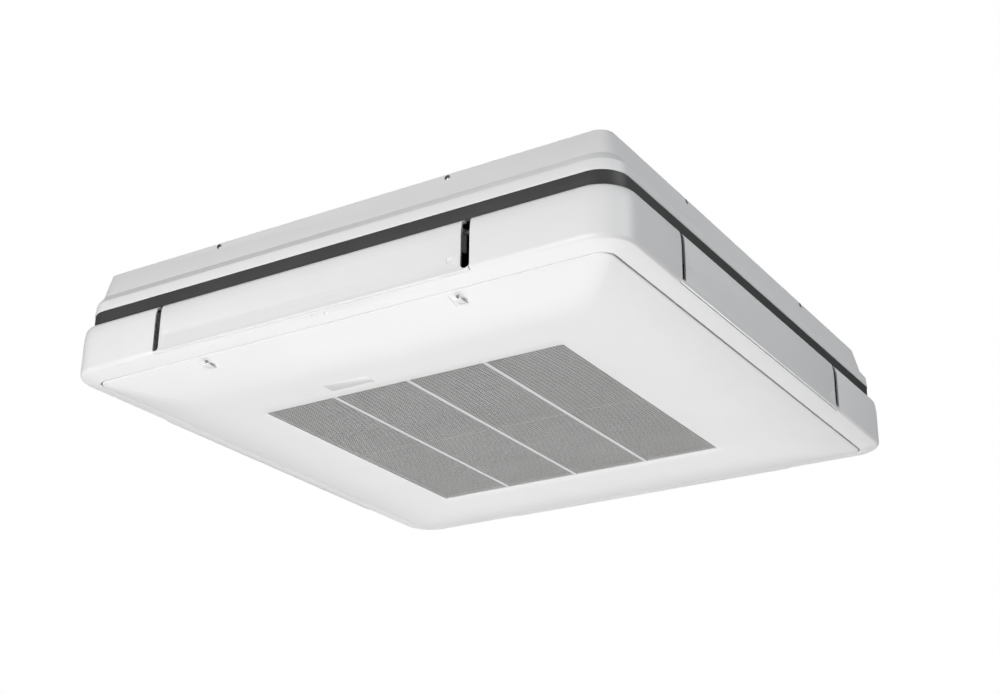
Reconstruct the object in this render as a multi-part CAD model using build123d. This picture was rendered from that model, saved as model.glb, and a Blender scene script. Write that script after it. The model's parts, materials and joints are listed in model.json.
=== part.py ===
from build123d import *
import math
import os

# A square indoor unit that hangs under a ceiling on four bolts, draws room air through its
# underside and blows it out of its four sides. Millimetres, +Z up. The origin is the centre
# of the suspension bolt pattern, on the upper face of the hanger brackets.

# Outer form. A half width is measured from the centre line to a side.
wall_half = 475.0
wall_corner_radius = 53.0
plate_recess = 14.0
skirt_top_half = 443.0
skirt_low_half = 453.0
skirt_height = 39.6
flare_half = 462.0
flare_height = 13.2
lip_half = 463.4
lip_height = 16.9
band_height = 24.6
shoulder_radius = 12.5
wall_height = 76.7
rim_drop = 7.5
rim_inner_half = 443.0
rim_edge_radius = 7.0
panel_bulge = 19.5
flat_half = 322.0
groove_width = 2.0

# Walls and clearances.
casing_wall = 2.5
plastic_wall = 3.0
duct_wall = 2.0
plate_thickness = 1.2
panel_wall = 2.5
seat_gap = 0.3
running_clearance = 0.05
screw_clearance = 0.1

# Hanger brackets and the slots for the suspension bolts.
bolt_spacing_x = 780.0
bolt_spacing_y = 680.0
slot_width = 12.0
slot_length = 30.0
bracket_width = 44.0
bracket_reach = 52.0
bracket_foot = 26.0
bracket_thickness = 2.5
bracket_screw_radius = 2.5
bracket_screw_head = 4.5

# Upper casing and top plate.
plate_rim_gap = 0.5
casing_screw_offsets = (-213.0, 196.0)
casing_screw_drop = 5.6
casing_screw_radius = 2.0
casing_screw_head = 4.0
casing_screw_head_height = 1.8
casing_screw_length = 12.0
insulation_thickness = 10.0
insulation_half = 320.0
insulation_corner_radius = 100.0
insulation_notch = 250.0
motor_well_radius = 100.0

# Side outlets, one on each side, with the same shift towards one end.
outlet_start = -298.4
outlet_end = 254.7
duct_inner_half = 337.0
duct_top_drop = 12.8
duct_rear_land = 8.0
end_wall_drop = 8.2
duct_pan_notch = 7.0
flap_gap = 2.0
flap_wall = 3.0
flap_skirt = 1.0
flap_slot_start = 10.7
flap_slot_end = 14.0
flap_slot_floor = 11.9
flap_side_gap = 1.0
flap_axis_inset = 16.0
flap_axis_drop = 14.2
flap_shaft_radius = 3.0
flap_rib_offsets = (-279.0, -105.0, 68.0, 232.0)
flap_rib_width = 3.0
flap_rib_depth = 7.0
flap_rib_low = 26.0
flap_rib_high = 8.0
flap_band_clearance = 3.8
band_flange = 22.0
bush_radius = 6.0
bush_flange_radius = 8.0
bush_flange_width = 1.2
flap_motor_radius = 10.5
flap_motor_length = 19.0
flap_shaft_grip = 5.0

# Lower frame.
shelf_thickness = 2.2
channel_half = 460.0

# Corner posts.
post_corner = 432.0
post_leg = 35.0
post_wall = 2.0

# Suction panel, its grille and filter.
opening_x = 530.0
opening_y = 501.0
panel_lip_height = 3.2
panel_flat_radius = 25.0
rib_count = 3
rib_width = 7.0
rib_recess = 0.8
grille_thickness = 3.0
grille_lap = 8.0
grille_rows = 72
grille_slot_width = 4.4
grille_slot_margin = 4.0
filter_margin = 10.0
filter_bar = 12.0
filter_depth = 4.0
filter_net_thickness = 1.0
filter_cells = 15
filter_cell_share = 0.86
badge_x = -80.0
badge_y = -285.0
badge_width = 78.0
badge_depth = 24.0
badge_thickness = 0.8

# Latch knobs at the front edge of the panel.
latch_offsets = (-232.0, 208.0)
latch_y = -421.0
latch_travel = 7.5
bolt_half_width = 5.0
bolt_thickness = 1.6
bolt_lift = 1.2
bolt_tip = 439.5
bolt_tail = 412.0
stem_half_width = 3.0
grip_half_width = 6.0
grip_height = 2.3
housing_half_width = 12.0
housing_front = 437.0
housing_back = 403.0
housing_roof = 1.5

# Panel hinge at the back edge.
hinge_offsets = (-300.0, 300.0)
hinge_y = 438.0
hinge_drop = 1.5
hinge_pin_radius = 1.5
hinge_ear_half = 5.0
hinge_ear_height = 4.0
hinge_knuckle_width = 8.0
hinge_knuckle_low = 4.0
hinge_side_gap = 0.6

# Fan, its motor and inlet ring.
fan_radius = 225.0
fan_top = -38.0
fan_back_thickness = 3.0
hub_top_radius = 95.0
hub_low_radius = 78.0
hub_depth = 50.0
hub_wall = 3.0
boss_radius = 16.0
boss_length = 24.0
blade_count = 7
blade_inner_radius = 150.0
blade_outer_radius = 222.0
blade_arc_radius = 95.0
blade_thickness = 3.0
blade_sweep = 30.0
shroud_top = -134.0
shroud_low = -150.0
shroud_eye_radius = 166.0
shroud_wall = 2.5
motor_radius = 68.0
motor_top = -31.0
motor_flange_radius = 92.0
motor_flange_thickness = 3.0
motor_height = 49.0
mount_circle_radius = 78.0
mount_count = 3
mount_radius = 12.0
shaft_radius = 5.0
shaft_embed = 25.0
shaft_nose = 12.0
nut_height = 7.0
nut_across_flats = 17.0
throat_radius = 158.0
throat_wall = 2.5
throat_top = -146.0
throat_flare = 26.0
bellmouth_half = 300.0

# Heat exchanger and drain pan.
coil_half = 300.0
coil_thickness = 38.0
coil_corner_radius = 90.0
coil_height = 124.0
coil_gap_start = 200.0
fin_pitch = 8.0
fin_gap = 6.0
fin_edge = 6.0
corner_gap_count = 7
coil_plate_thickness = 1.5
coil_tube_radius = 3.5
coil_column_offset = 9.5
bend_count = 5
bend_pitch = 23.0
bend_radius = 8.0
feeder_radius = 2.5
feeder_count = 3
feeder_pitch = 24.0
pan_outer_half = 335.0
pan_inner_half = 250.0
pan_corner_radius = 20.0
pan_wall = 3.0
pan_floor_top = -152.0
pan_rim_height = 6.0
pan_skirt_depth = 20.0
pan_flange = 10.0
pan_flange_thickness = 3.0

# Refrigerant connections on the back face.
pipe_level = -32.0
gas_pipe_radius = 7.94
liquid_pipe_radius = 4.76
gas_pipe_x = -285.0
liquid_pipe_x = -325.0
header_reach = 40.0
pipe_bend_radius = 20.0
pipe_wall = 1.0
gas_header_low = -140.0
liquid_header_top = -56.0
liquid_crossing = -130.0
union_start = 426.0
union_hex_length = 13.0
union_end = 474.0
gas_thread_radius = 11.11
liquid_thread_radius = 7.94
gas_thread_length = 14.0
liquid_thread_length = 12.0
gas_hex = 27.0
liquid_hex = 19.0
pipe_hole_clearance = 3.0

# Drain pump, float switch and drain outlet.
pump_centre = 304.0
pump_radius = 28.0
pump_top = -70.0
pump_floor = -125.0
cup_radius = 14.0
cup_wall = 2.0
cup_low = -151.5
impeller_radius = 10.5
impeller_height = 12.0
impeller_lift = 4.0
impeller_shaft_radius = 2.5
impeller_shaft_grip = 15.0
pump_outlet_level = -85.0
pump_nozzle_radius = 6.5
pump_nozzle_reach = 7.0
hose_radius = 9.0
hose_bore = 6.8
hose_bend_radius = 13.0
drain_x = 350.0
drain_radius = 13.0
drain_bore = 10.0
drain_start = 425.0
drain_shoulder = 460.0
drain_step = 1.0
drain_end = 474.0
float_x = 316.0
float_y = 258.0
float_radius = 9.0
float_height = 12.0
float_lift = 0.5
stem_radius = 3.0
stem_top = -100.0
switch_head = 22.0
switch_head_height = 14.0
strap_width = 20.0
strap_thickness = 1.5
strap_reach = 20.0

# Control box, its board and cable gland.
box_low_x = -434.0
box_high_x = -336.0
box_low_y = -392.0
box_high_y = -285.0
box_top = -45.0
box_depth = 92.0
box_entry_radius = 10.0
box_entry_x = -412.0
box_entry_y = -312.0
sheet = 1.2
board_margin = 8.0
board_thickness = 1.6
board_drop = 80.0
board_foot_radius = 3.0
terminal_length = 60.0
terminal_width = 22.0
terminal_height = 18.0
terminal_drop = 20.0
gland_y = -312.0
gland_radius = 12.0
gland_bore = 8.0
gland_bore_length = 14.0
gland_throat = 8.6
gland_nut = 30.0
gland_nut_width = 7.0
gland_end = 470.0
thermistor_x = 215.0
thermistor_y = -215.0
thermistor_radius = 3.0
thermistor_length = 24.0
thermistor_clip = 10.0

# Levels worked out from the heights above.
casing_top = 0.0
plate_top = casing_top - plate_recess
skirt_low = casing_top - skirt_height
flare_low = skirt_low - flare_height
lip_low = flare_low - lip_height
wall_top = lip_low - band_height
wall_low = wall_top - wall_height
rim_low = wall_low - rim_drop
panel_low = rim_low - panel_bulge
plate_low = plate_top - plate_thickness
shelf_top = wall_low + plate_thickness
shelf_low = shelf_top - shelf_thickness
flap_low = wall_low - flap_skirt
panel_half = rim_inner_half - groove_width
axis_half = wall_half - flap_axis_inset
axis_level = wall_top - flap_axis_drop
side_names = ("front", "right", "back", "left")


def corner_radius(half):
    """All outer rings share the corner centres of the wall, so their radii follow their size."""
    return max(wall_corner_radius - (wall_half - half), 3.0)


def rounded_square(half, level, radius=None):
    size = corner_radius(half) if radius is None else radius
    return Plane.XY.offset(level) * RectangleRounded(2 * half, 2 * half, size)


def square_block(half, low, high, radius=None):
    return extrude(rounded_square(half, low, radius), amount=high - low)


def stacked(levels):
    """A solid through rounded squares, each given as a half width and a level."""
    return loft([rounded_square(half, level) for half, level in levels], ruled=True)


def block(x, y, z):
    centre = Pos((x[0] + x[1]) / 2, (y[0] + y[1]) / 2, (z[0] + z[1]) / 2)
    return centre * Box(abs(x[1] - x[0]), abs(y[1] - y[0]), abs(z[1] - z[0]))


def post(radius, x, y, low, high):
    return Pos(x, y, (low + high) / 2) * Cylinder(radius, high - low)


def rod_x(radius, start, end, y, z):
    return Pos((start + end) / 2, y, z) * Rot(0, 90, 0) * Cylinder(radius, end - start)


def rod_y(radius, start, end, x, z):
    return Pos(x, (start + end) / 2, z) * Rot(90, 0, 0) * Cylinder(radius, end - start)


def on_side(shape, index):
    return Rot(0, 0, 90 * index) * shape


def along_front(face, start, end):
    """Extrudes a face drawn in half widths and levels along the front side."""
    plane = Plane(origin=(end, 0, 0), x_dir=(0, -1, 0), z_dir=(-1, 0, 0))
    return extrude(plane * face, amount=end - start)


def outline(points):
    return make_face(Polyline(*points, close=True))


def turned(points):
    """A solid of revolution about the fan axis, from radii and levels."""
    return revolve(Plane.XZ * outline(points), axis=Axis.Z)


def tube(points, bend, outer, inner=0.0):
    """A pipe along straight runs that are joined by arcs."""
    path = FilletPolyline(*points, radius=bend)
    start = Plane(origin=path @ 0, z_dir=path % 0)
    solid = sweep(start * Circle(outer), path=path)
    if inner > 0.0:
        solid = solid - sweep(start * Circle(inner), path=path)
    return solid


def side_hole(radius, offset, level, reach=60.0):
    """A hole through the upper casing's front side."""
    return rod_y(radius, -wall_half - 1.0, -wall_half + reach, offset, level)


def group(shapes):
    return Compound(children=[solid for shape in shapes for solid in shape.solids()])


def skirt_half(level):
    """Half width of the skirt's outer face at a level."""
    return skirt_top_half + (skirt_low_half - skirt_top_half) * (casing_top - level) / skirt_height


def top_plate():
    """A tray whose upturned rim stands against the inside of the skirt."""
    rim_top = casing_top - plate_rim_gap
    inset = casing_wall + seat_gap
    plate = stacked([(skirt_half(level) - inset, level) for level in (plate_low, rim_top)])
    inset = inset + plate_thickness
    plate = plate - stacked(
        [(skirt_half(level) - inset, level)
        for level in (plate_top, casing_top + 1.0)]
    )
    clear = (slot_length + 4.0, slot_width + 4.0)
    for x in (-1, 1):
        for y in (-1, 1):
            slot = Pos(x * bolt_spacing_x / 2, y * bolt_spacing_y / 2, plate_top) * SlotOverall(*clear)
            plate = plate - extrude(slot, amount=plate_thickness * 2, both=True)
    for x, y in bracket_screw_places():
        plate = plate - post(bracket_screw_radius, x, y, plate_low - 1.0, plate_top + 1.0)
    for index in range(4):
        for offset in casing_screw_offsets:
            hole = side_hole(
                casing_screw_radius + screw_clearance, offset, casing_top - casing_screw_drop,
            )
            plate = plate - on_side(hole, index)
    return plate


def bracket_screw_places():
    inset = bolt_spacing_y / 2 - bracket_width / 2 - bracket_foot / 2
    return [
        (x * bolt_spacing_x / 2 + step * bracket_reach / 4, y * inset)
        for x in (-1, 1)
        for y in (-1, 1)
        for step in (-1, 1)
    ]


def hanger_bracket(x, y):
    """A pressed bracket: a foot on the top plate, a riser, and a raised slotted tongue."""
    reach = (x * bolt_spacing_x / 2 - bracket_reach / 2, x * bolt_spacing_x / 2 + bracket_reach / 2)
    near = y * (bolt_spacing_y / 2 - bracket_width / 2)
    far = y * (bolt_spacing_y / 2 + bracket_width / 2)
    foot = y * (bolt_spacing_y / 2 - bracket_width / 2 - bracket_foot)
    foot_top = plate_top + bracket_thickness
    shape = block(reach, (near, far), (-bracket_thickness, 0.0))
    shape = shape + block(reach, (near, near + y * bracket_thickness), (plate_top, 0.0))
    shape = shape + block(reach, (foot, near + y * bracket_thickness), (plate_top, foot_top))
    slot = Pos(x * bolt_spacing_x / 2, y * bolt_spacing_y / 2, 0.0) * SlotOverall(slot_length, slot_width)
    shape = shape - extrude(slot, amount=2 * bracket_thickness, both=True)
    for hole_x, hole_y in bracket_screw_places():
        shape = shape - post(bracket_screw_radius, hole_x, hole_y, plate_top - 1.0, foot_top + 1.0)
    return shape


def bracket_screw(x, y):
    seat = plate_top + bracket_thickness
    head = post(bracket_screw_head, x, y, seat, seat + 2.5)
    return head + post(bracket_screw_radius - screw_clearance, x, y, plate_low - 3.0, seat)


def top_insulation():
    low = plate_low - insulation_thickness
    foam = square_block(insulation_half, low, plate_low, insulation_corner_radius)
    foam = foam - post(motor_well_radius, 0, 0, low - 1.0, plate_low + 1.0)
    notch = (-insulation_half - 1.0, -insulation_notch), (coil_gap_start, insulation_half + 1.0)
    return foam - block(*notch, (low - 1.0, plate_low + 1.0))


def upper_casing():
    levels = [
        (skirt_top_half, casing_top),
        (skirt_low_half, skirt_low),
        (flare_half, flare_low),
        (lip_half, lip_low),
    ]
    outer = stacked(levels[::-1])
    inner = stacked([(half - casing_wall, level) for half, level in levels[::-1]])
    shell = outer - inner
    shell = shell - square_block(skirt_top_half - casing_wall, casing_top - 0.01, casing_top + 1.0)
    screw_level = casing_top - casing_screw_drop
    seat = screw_seat()
    for index in range(4):
        for offset in casing_screw_offsets:
            spot = rod_y(casing_screw_head + 0.4, -wall_half, -seat, offset, screw_level)
            hole = side_hole(casing_screw_radius + screw_clearance, offset, screw_level)
            shell = shell - on_side(spot, index) - on_side(hole, index)
    shell = shell - rod_y(gas_thread_radius + pipe_hole_clearance, 430.0, 470.0, gas_pipe_x, pipe_level)
    shell = shell - rod_y(
        liquid_thread_radius + pipe_hole_clearance, 430.0, 470.0, liquid_pipe_x, pipe_level,
    )
    shell = shell - rod_y(drain_radius + seat_gap, 430.0, 470.0, drain_x, pipe_level)
    return shell - rod_x(gland_radius + seat_gap, -470.0, -430.0, gland_y, pipe_level)


def screw_seat():
    """Half width of the flat spot that the casing screws sit on."""
    return skirt_half(casing_top - casing_screw_drop + casing_screw_head) - 0.2


def casing_screw(offset):
    level = casing_top - casing_screw_drop
    seat = -screw_seat()
    head = rod_y(casing_screw_head, seat - casing_screw_head_height, seat, offset, level)
    return head + rod_y(casing_screw_radius, seat, seat + casing_screw_length, offset, level)


def corner_post(x, y):
    low = wall_low + plate_thickness + duct_wall
    edge = post_corner - post_wall
    inner = post_corner - post_leg
    leg = block((x * edge, x * post_corner), (y * inner, y * post_corner), (low, plate_low))
    return leg + block((x * inner, x * post_corner), (y * edge, y * post_corner), (low, plate_low))


def band_ring():
    low = wall_top + flap_band_clearance
    outer = lip_half - 1.0
    ring = square_block(outer, low, lip_low) - square_block(
        outer - plastic_wall, low - 1.0, lip_low - casing_wall,
    )
    return ring - square_block(outer - band_flange, low - 1.0, lip_low + 1.0)


def outlet_duct():
    """The air passage behind one flap: floor, sloping roof and two end walls with shaft holes."""
    mouth = wall_half - flap_wall - flap_gap
    roof_front = lip_half - 1.0 - plastic_wall - 0.2
    roof_low = wall_top + flap_band_clearance - 0.5
    top = plate_low - duct_top_drop
    rear = duct_inner_half + duct_rear_land
    floor_top = shelf_top + duct_wall
    shell = [(duct_inner_half, shelf_top), (mouth, shelf_top), (mouth, wall_top - shoulder_radius)]
    shell += [(mouth - 2.0, wall_top - end_wall_drop), (roof_front, wall_top - plastic_wall - 0.4)]
    shell += [(roof_front, roof_low + duct_wall), (rear, top), (duct_inner_half, top)]
    air = [(duct_inner_half - 1.0, floor_top), (wall_half, floor_top), (wall_half, roof_low + duct_wall)]
    air += [(roof_front + 0.1, roof_low + duct_wall), (roof_front + 0.1, roof_low)]
    air += [(rear - 1.5, top - duct_wall * 1.3), (duct_inner_half - 1.0, top - duct_wall * 1.3)]
    duct = along_front(outline(shell), outlet_start - duct_wall, outlet_end + duct_wall)
    duct = duct - along_front(outline(air), outlet_start, outlet_end)
    span = (outlet_start - duct_wall - 1.0, outlet_end + duct_wall + 1.0)
    notch = duct_inner_half + duct_pan_notch + 2.0
    duct = duct - block(span, (-notch, -duct_inner_half + 1.0), (floor_top, floor_top + duct_pan_notch))
    return duct - rod_x(bush_radius + running_clearance, *span, -axis_half, axis_level)


def bushes():
    """A flanged nylon bush in each end wall of a duct."""
    shapes = []
    bore = flap_shaft_radius + running_clearance
    for wall, inward in ((outlet_start, 1), (outlet_end, -1)):
        outside = wall - inward * duct_wall
        inside = wall + inward * bush_flange_width
        low, high = sorted((outside, inside))
        body = rod_x(bush_radius, low, high, -axis_half, axis_level)
        low, high = sorted((wall, inside))
        body = body + rod_x(bush_flange_radius, low, high, -axis_half, axis_level)
        shapes.append(body - rod_x(bore, low - 10.0, high + 10.0, -axis_half, axis_level))
    return group(shapes)


def flap():
    """A curved outlet flap with a shoulder along its top and ribs that carry its shaft."""
    centre = (wall_half - shoulder_radius, wall_top - shoulder_radius)
    inner = shoulder_radius - flap_wall
    turn = math.sqrt(0.5)
    edges = Curve() + [
        Line((wall_half, flap_low), (wall_half, centre[1])),
        ThreePointArc(
            (wall_half, centre[1]),
            (centre[0] + shoulder_radius * turn, centre[1] + shoulder_radius * turn),
            (centre[0], wall_top),
        ),
        Line((centre[0], wall_top), (centre[0], wall_top - flap_wall)),
        ThreePointArc(
            (centre[0], wall_top - flap_wall),
            (centre[0] + inner * turn, centre[1] + inner * turn),
            (wall_half - flap_wall, centre[1]),
        ),
        Line((wall_half - flap_wall, centre[1]), (wall_half - flap_wall, flap_low)),
        Line((wall_half - flap_wall, flap_low), (wall_half, flap_low)),
    ]
    start = outlet_start + flap_side_gap
    end = outlet_end - flap_side_gap
    shell = along_front(make_face(edges), start, end)
    floor = flap_low + flap_slot_floor
    for edge, inward, width in ((outlet_start, 1, flap_slot_start), (outlet_end, -1, flap_slot_end)):
        radius = width / 2
        across = sorted((edge - inward * 2.0, edge + inward * width))
        slot = block(across, (-wall_half - 5.0, -centre[0] + 5.0), (floor + radius, wall_top + 5.0))
        slot = slot + rod_y(
            radius, -wall_half - 5.0, -centre[0] + 5.0, edge + inward * radius, floor + radius,
        )
        shell = shell - slot
    for offset in flap_rib_offsets:
        reach = (-wall_half + flap_wall, -axis_half + flap_rib_depth)
        rib = block(
            (offset, offset + flap_rib_width),
            reach,
            (axis_level - flap_rib_low, axis_level + flap_rib_high),
        )
        shell = shell + rib
    bore = flap_shaft_radius + running_clearance
    return shell - rod_x(bore, start - 1.0, end + 1.0, -axis_half, axis_level)


def flap_shaft():
    start = outlet_start - duct_wall - 0.5
    end = outlet_end + duct_wall + flap_shaft_grip
    return rod_x(flap_shaft_radius, start, end, -axis_half, axis_level)


def flap_motor():
    start = outlet_end + duct_wall + 0.2
    body = rod_x(flap_motor_radius, start, start + flap_motor_length, -axis_half, axis_level)
    socket = flap_shaft_radius + running_clearance
    return body - rod_x(socket, start - 1.0, start + flap_shaft_grip + 1.0, -axis_half, axis_level)


def lower_frame():
    """The white lower frame: four corner walls, the sloping rim, its latch channel and corner plates."""
    wall = square_block(wall_half, wall_low, wall_top)
    wall = fillet(wall.edges().group_by(Axis.Z)[-1], shoulder_radius)
    outer = wall + stacked([(rim_inner_half, rim_low), (wall_half, wall_low)])
    seam = outer.edges().filter_by_position(Axis.Z, wall_low - 0.1, wall_low + 0.1)
    outer = fillet(seam, rim_edge_radius)
    core = square_block(wall_half - plastic_wall, shelf_top, wall_top - plastic_wall)
    core = fillet(core.edges().group_by(Axis.Z)[-1], shoulder_radius - plastic_wall)
    frame = outer - core
    frame = frame - square_block(wall_half - shoulder_radius - plastic_wall, shelf_top, wall_top + 1.0)
    frame = frame - square_block(rim_inner_half, rim_low - 1.0, wall_top)
    channel_low = rim_low + plastic_wall
    frame = frame - stacked([(rim_inner_half - 0.5, channel_low), (channel_half, shelf_low)])
    mouth = wall_half - flap_wall - flap_gap + 0.5
    floor_top = shelf_top + duct_wall
    for index in range(4):
        span = (outlet_start, outlet_end)
        upper = block(span, (-wall_half - 5.0, -mouth + 30.0), (shelf_top, wall_top + 5.0))
        lower = block(span, (-wall_half - 5.0, -mouth), (rim_low - 5.0, shelf_top + 1.0))
        frame = frame - on_side(upper, index) - on_side(lower, index)
    plates = square_block(wall_half - plastic_wall, shelf_top, floor_top) - square_block(
        duct_inner_half, shelf_top - 1.0, floor_top + 1.0,
    )
    for index in range(4):
        span = (outlet_start - duct_wall - seat_gap, outlet_end + duct_wall + seat_gap)
        plates = plates - on_side(
            block(span, (-wall_half, -duct_inner_half + 1.0), (shelf_top - 1.0, floor_top + 1.0)), index,
        )
    frame = frame + plates
    ear_low = rim_low - 0.5
    for offset in hinge_offsets:
        ear = block(
            (offset - hinge_ear_half, offset + hinge_ear_half),
            (hinge_y - hinge_pin_radius - 1.5, rim_inner_half + 1.0),
            (ear_low, ear_low + hinge_ear_height),
        )
        pin = rod_x(
            hinge_pin_radius + running_clearance, offset - 10.0, offset + 10.0, hinge_y, hinge_level(),
        )
        frame = frame + ear - pin
    return frame


def hinge_level():
    return rim_low + hinge_drop


def panel_level(half):
    """Level of the panel's curved underside at a half width."""
    share = max(half - flat_half, 0.0) / (panel_half - flat_half)
    return panel_low + panel_bulge * share * share


def panel_solid(inset, lift, top):
    """The panel's outer form, or the same form set in and lifted for its inside."""
    steps = 7
    halves = [flat_half + (panel_half - flat_half) * step / steps for step in range(steps + 1)]
    sections = []
    for half in halves:
        share = (half - flat_half) / (panel_half - flat_half)
        radius = panel_flat_radius + (corner_radius(panel_half) - panel_flat_radius) * share
        sections.append(rounded_square(half - inset, panel_level(half) + lift, radius - inset))
    sections.append(rounded_square(panel_half - inset, top, corner_radius(panel_half) - inset))
    return loft(sections, ruled=True)


def suction_panel():
    """The curved suction panel with its grille opening, latch housings and hinge knuckles."""
    edge_top = rim_low + panel_lip_height
    panel = panel_solid(0.0, 0.0, edge_top) - panel_solid(panel_wall, panel_wall, edge_top + 1.0)
    opening = block(
        (-opening_x / 2, opening_x / 2), (-opening_y / 2, opening_y / 2), (panel_low - 1.0, edge_top),
    )
    opening = fillet(opening.edges().filter_by(Axis.Z), 4.0)
    panel = panel - opening
    badge = (badge_width / 2, badge_depth / 2)
    recess_top = panel_low + badge_thickness
    panel = panel - block(
        (badge_x - badge[0] - 0.2, badge_x + badge[0] + 0.2),
        (badge_y - badge[1] - 0.2, badge_y + badge[1] + 0.2),
        (panel_low - 1.0, recess_top),
    )
    inside = panel_solid(panel_wall / 2, panel_wall / 2, edge_top + 10.0)
    for offset in latch_offsets:
        across = (offset - housing_half_width, offset + housing_half_width)
        roof = bolt_level() + bolt_thickness + running_clearance + housing_roof
        housing = block(across, (-housing_front, -housing_back), (panel_low, roof)) & inside
        panel = panel + housing
        groove_x = (offset - bolt_half_width - 0.15, offset + bolt_half_width + 0.15)
        groove_z = (bolt_level() - 0.1, bolt_level() + bolt_thickness + 0.1)
        panel = panel - block(groove_x, (-panel_half - 1.0, -bolt_tail + 0.3), groove_z)
        slot_x = (offset - stem_half_width - 0.2, offset + stem_half_width + 0.2)
        slot_y = (latch_y - stem_half_width - latch_travel - 0.2, latch_y + stem_half_width + 0.2)
        panel = panel - block(slot_x, slot_y, (panel_low, bolt_level() + 0.5))
    for offset in hinge_offsets:
        reach = hinge_ear_half + hinge_side_gap
        outer = reach + hinge_knuckle_width
        knuckle_y = (hinge_y - hinge_knuckle_low, panel_half)
        for sign in (-1, 1):
            across = (offset + sign * reach, offset + sign * outer)
            panel = panel + block(across, knuckle_y, (rim_low, hinge_level() + hinge_pin_radius + 1.5))
        notch_y = (hinge_y - hinge_pin_radius - 2.5, panel_half + 1.0)
        panel = panel - block((offset - reach, offset + reach), notch_y, (panel_low, edge_top + 5.0))
        panel = panel - rod_x(
            hinge_pin_radius + running_clearance,
            offset - outer - 1.0,
            offset + outer + 1.0,
            hinge_y,
            hinge_level(),
        )
    return panel


def hinge_pin(offset):
    reach = hinge_ear_half + hinge_side_gap + hinge_knuckle_width - 0.5
    return rod_x(hinge_pin_radius, offset - reach, offset + reach, hinge_y, hinge_level())


def bolt_level():
    """Underside of the latch bolts, just above the panel's upturned edge."""
    return rim_low + panel_lip_height + bolt_lift


def latch_knob(offset):
    """A sliding bolt with a stem and a grip below the panel."""
    low = bolt_level()
    bolt = block(
        (offset - bolt_half_width, offset + bolt_half_width),
        (-bolt_tip, -bolt_tail),
        (low, low + bolt_thickness),
    )
    stem_y = (latch_y - stem_half_width, latch_y + stem_half_width)
    grip_top = panel_level(-latch_y - stem_half_width) - 0.4
    stem = block(
        (offset - stem_half_width, offset + stem_half_width), stem_y, (grip_top - grip_height, low),
    )
    grip = block(
        (offset - grip_half_width, offset + grip_half_width), stem_y, (grip_top - grip_height, grip_top),
    )
    return bolt + stem + grip


def badge_plate():
    x = (badge_x - badge_width / 2, badge_x + badge_width / 2)
    y = (badge_y - badge_depth / 2, badge_y + badge_depth / 2)
    return block(x, y, (panel_low, panel_low + badge_thickness))


def grille_low():
    return panel_low + panel_wall


def intake_grille():
    """A slotted plate behind the opening, with three ribs that fill it nearly flush."""
    low = grille_low()
    half_x = opening_x / 2 + grille_lap
    half_y = opening_y / 2 + grille_lap
    plate = block((-half_x, half_x), (-half_y, half_y), (low, low + grille_thickness))
    zone = (opening_x - rib_count * rib_width) / (rib_count + 1)
    pitch = (opening_y - 2 * grille_slot_margin) / grille_rows
    slots = []
    for column in range(rib_count + 1):
        centre = -opening_x / 2 + zone / 2 + column * (zone + rib_width)
        across = (centre - zone / 2 + grille_slot_margin, centre + zone / 2 - grille_slot_margin)
        for row in range(grille_rows):
            y = -opening_y / 2 + grille_slot_margin + (row + 0.5) * pitch
            slots.append(
                block(
                    across,
                    (y - grille_slot_width / 2, y + grille_slot_width / 2),
                    (low - 1.0, low + grille_thickness + 1.0),
                )
            )
    plate = plate - slots
    for column in range(rib_count):
        centre = -opening_x / 2 + (column + 1) * (zone + rib_width) - rib_width / 2
        rib = block(
            (centre - rib_width / 2, centre + rib_width / 2),
            (-opening_y / 2 + seat_gap, opening_y / 2 - seat_gap),
            (panel_low + rib_recess, low + 0.5),
        )
        plate = plate + rib
    return plate


def filter_frame():
    low = grille_low() + grille_thickness
    x = opening_x / 2 + filter_margin
    y = opening_y / 2 + filter_margin
    frame = block((-x, x), (-y, y), (low, low + filter_depth))
    inner_x = x - filter_bar
    inner_y = y - filter_bar
    frame = frame - block((-inner_x, inner_x), (-inner_y, inner_y), (low - 1.0, low + filter_depth + 1.0))
    bar = (-filter_bar / 4, filter_bar / 4)
    frame = frame + block(
        (-inner_x - 1.0, inner_x + 1.0), bar, (low, low + filter_depth - filter_net_thickness),
    )
    return frame + block(
        bar, (-inner_y - 1.0, inner_y + 1.0), (low, low + filter_depth - filter_net_thickness),
    )


def filter_net():
    """The filter cloth as one holed sheet, a few tenths clear of its frame."""
    high = grille_low() + grille_thickness + filter_depth
    x = opening_x / 2 + filter_margin - filter_bar - seat_gap
    y = opening_y / 2 + filter_margin - filter_bar - seat_gap
    sheet_net = block((-x, x), (-y, y), (high - filter_net_thickness, high))
    step_x = 2 * x / filter_cells
    step_y = 2 * y / filter_cells
    holes = []
    for column in range(filter_cells):
        for row in range(filter_cells):
            centre_x = -x + (column + 0.5) * step_x
            centre_y = -y + (row + 0.5) * step_y
            half_x = step_x * filter_cell_share / 2
            half_y = step_y * filter_cell_share / 2
            holes.append(
                block(
                    (centre_x - half_x, centre_x + half_x),
                    (centre_y - half_y, centre_y + half_y),
                    (high - 5.0, high + 5.0),
                )
            )
    return sheet_net - holes


def fan_hub():
    """The fan's back plate with a deep hub for the motor and a boss for the shaft."""
    disc_top = fan_top - hub_depth + hub_wall
    disc_low = fan_top - hub_depth
    bore = shaft_radius + running_clearance
    return turned([
        (fan_radius, fan_top), (hub_top_radius, fan_top), (hub_low_radius, disc_top), (bore, disc_top),
        (bore, boss_low()), (boss_radius, boss_low()), (boss_radius, disc_low), (
            hub_low_radius + hub_wall, disc_low,
        ),
        (
            hub_top_radius + hub_wall, fan_top - fan_back_thickness,
        ), (fan_radius, fan_top - fan_back_thickness),
    ])


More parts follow.
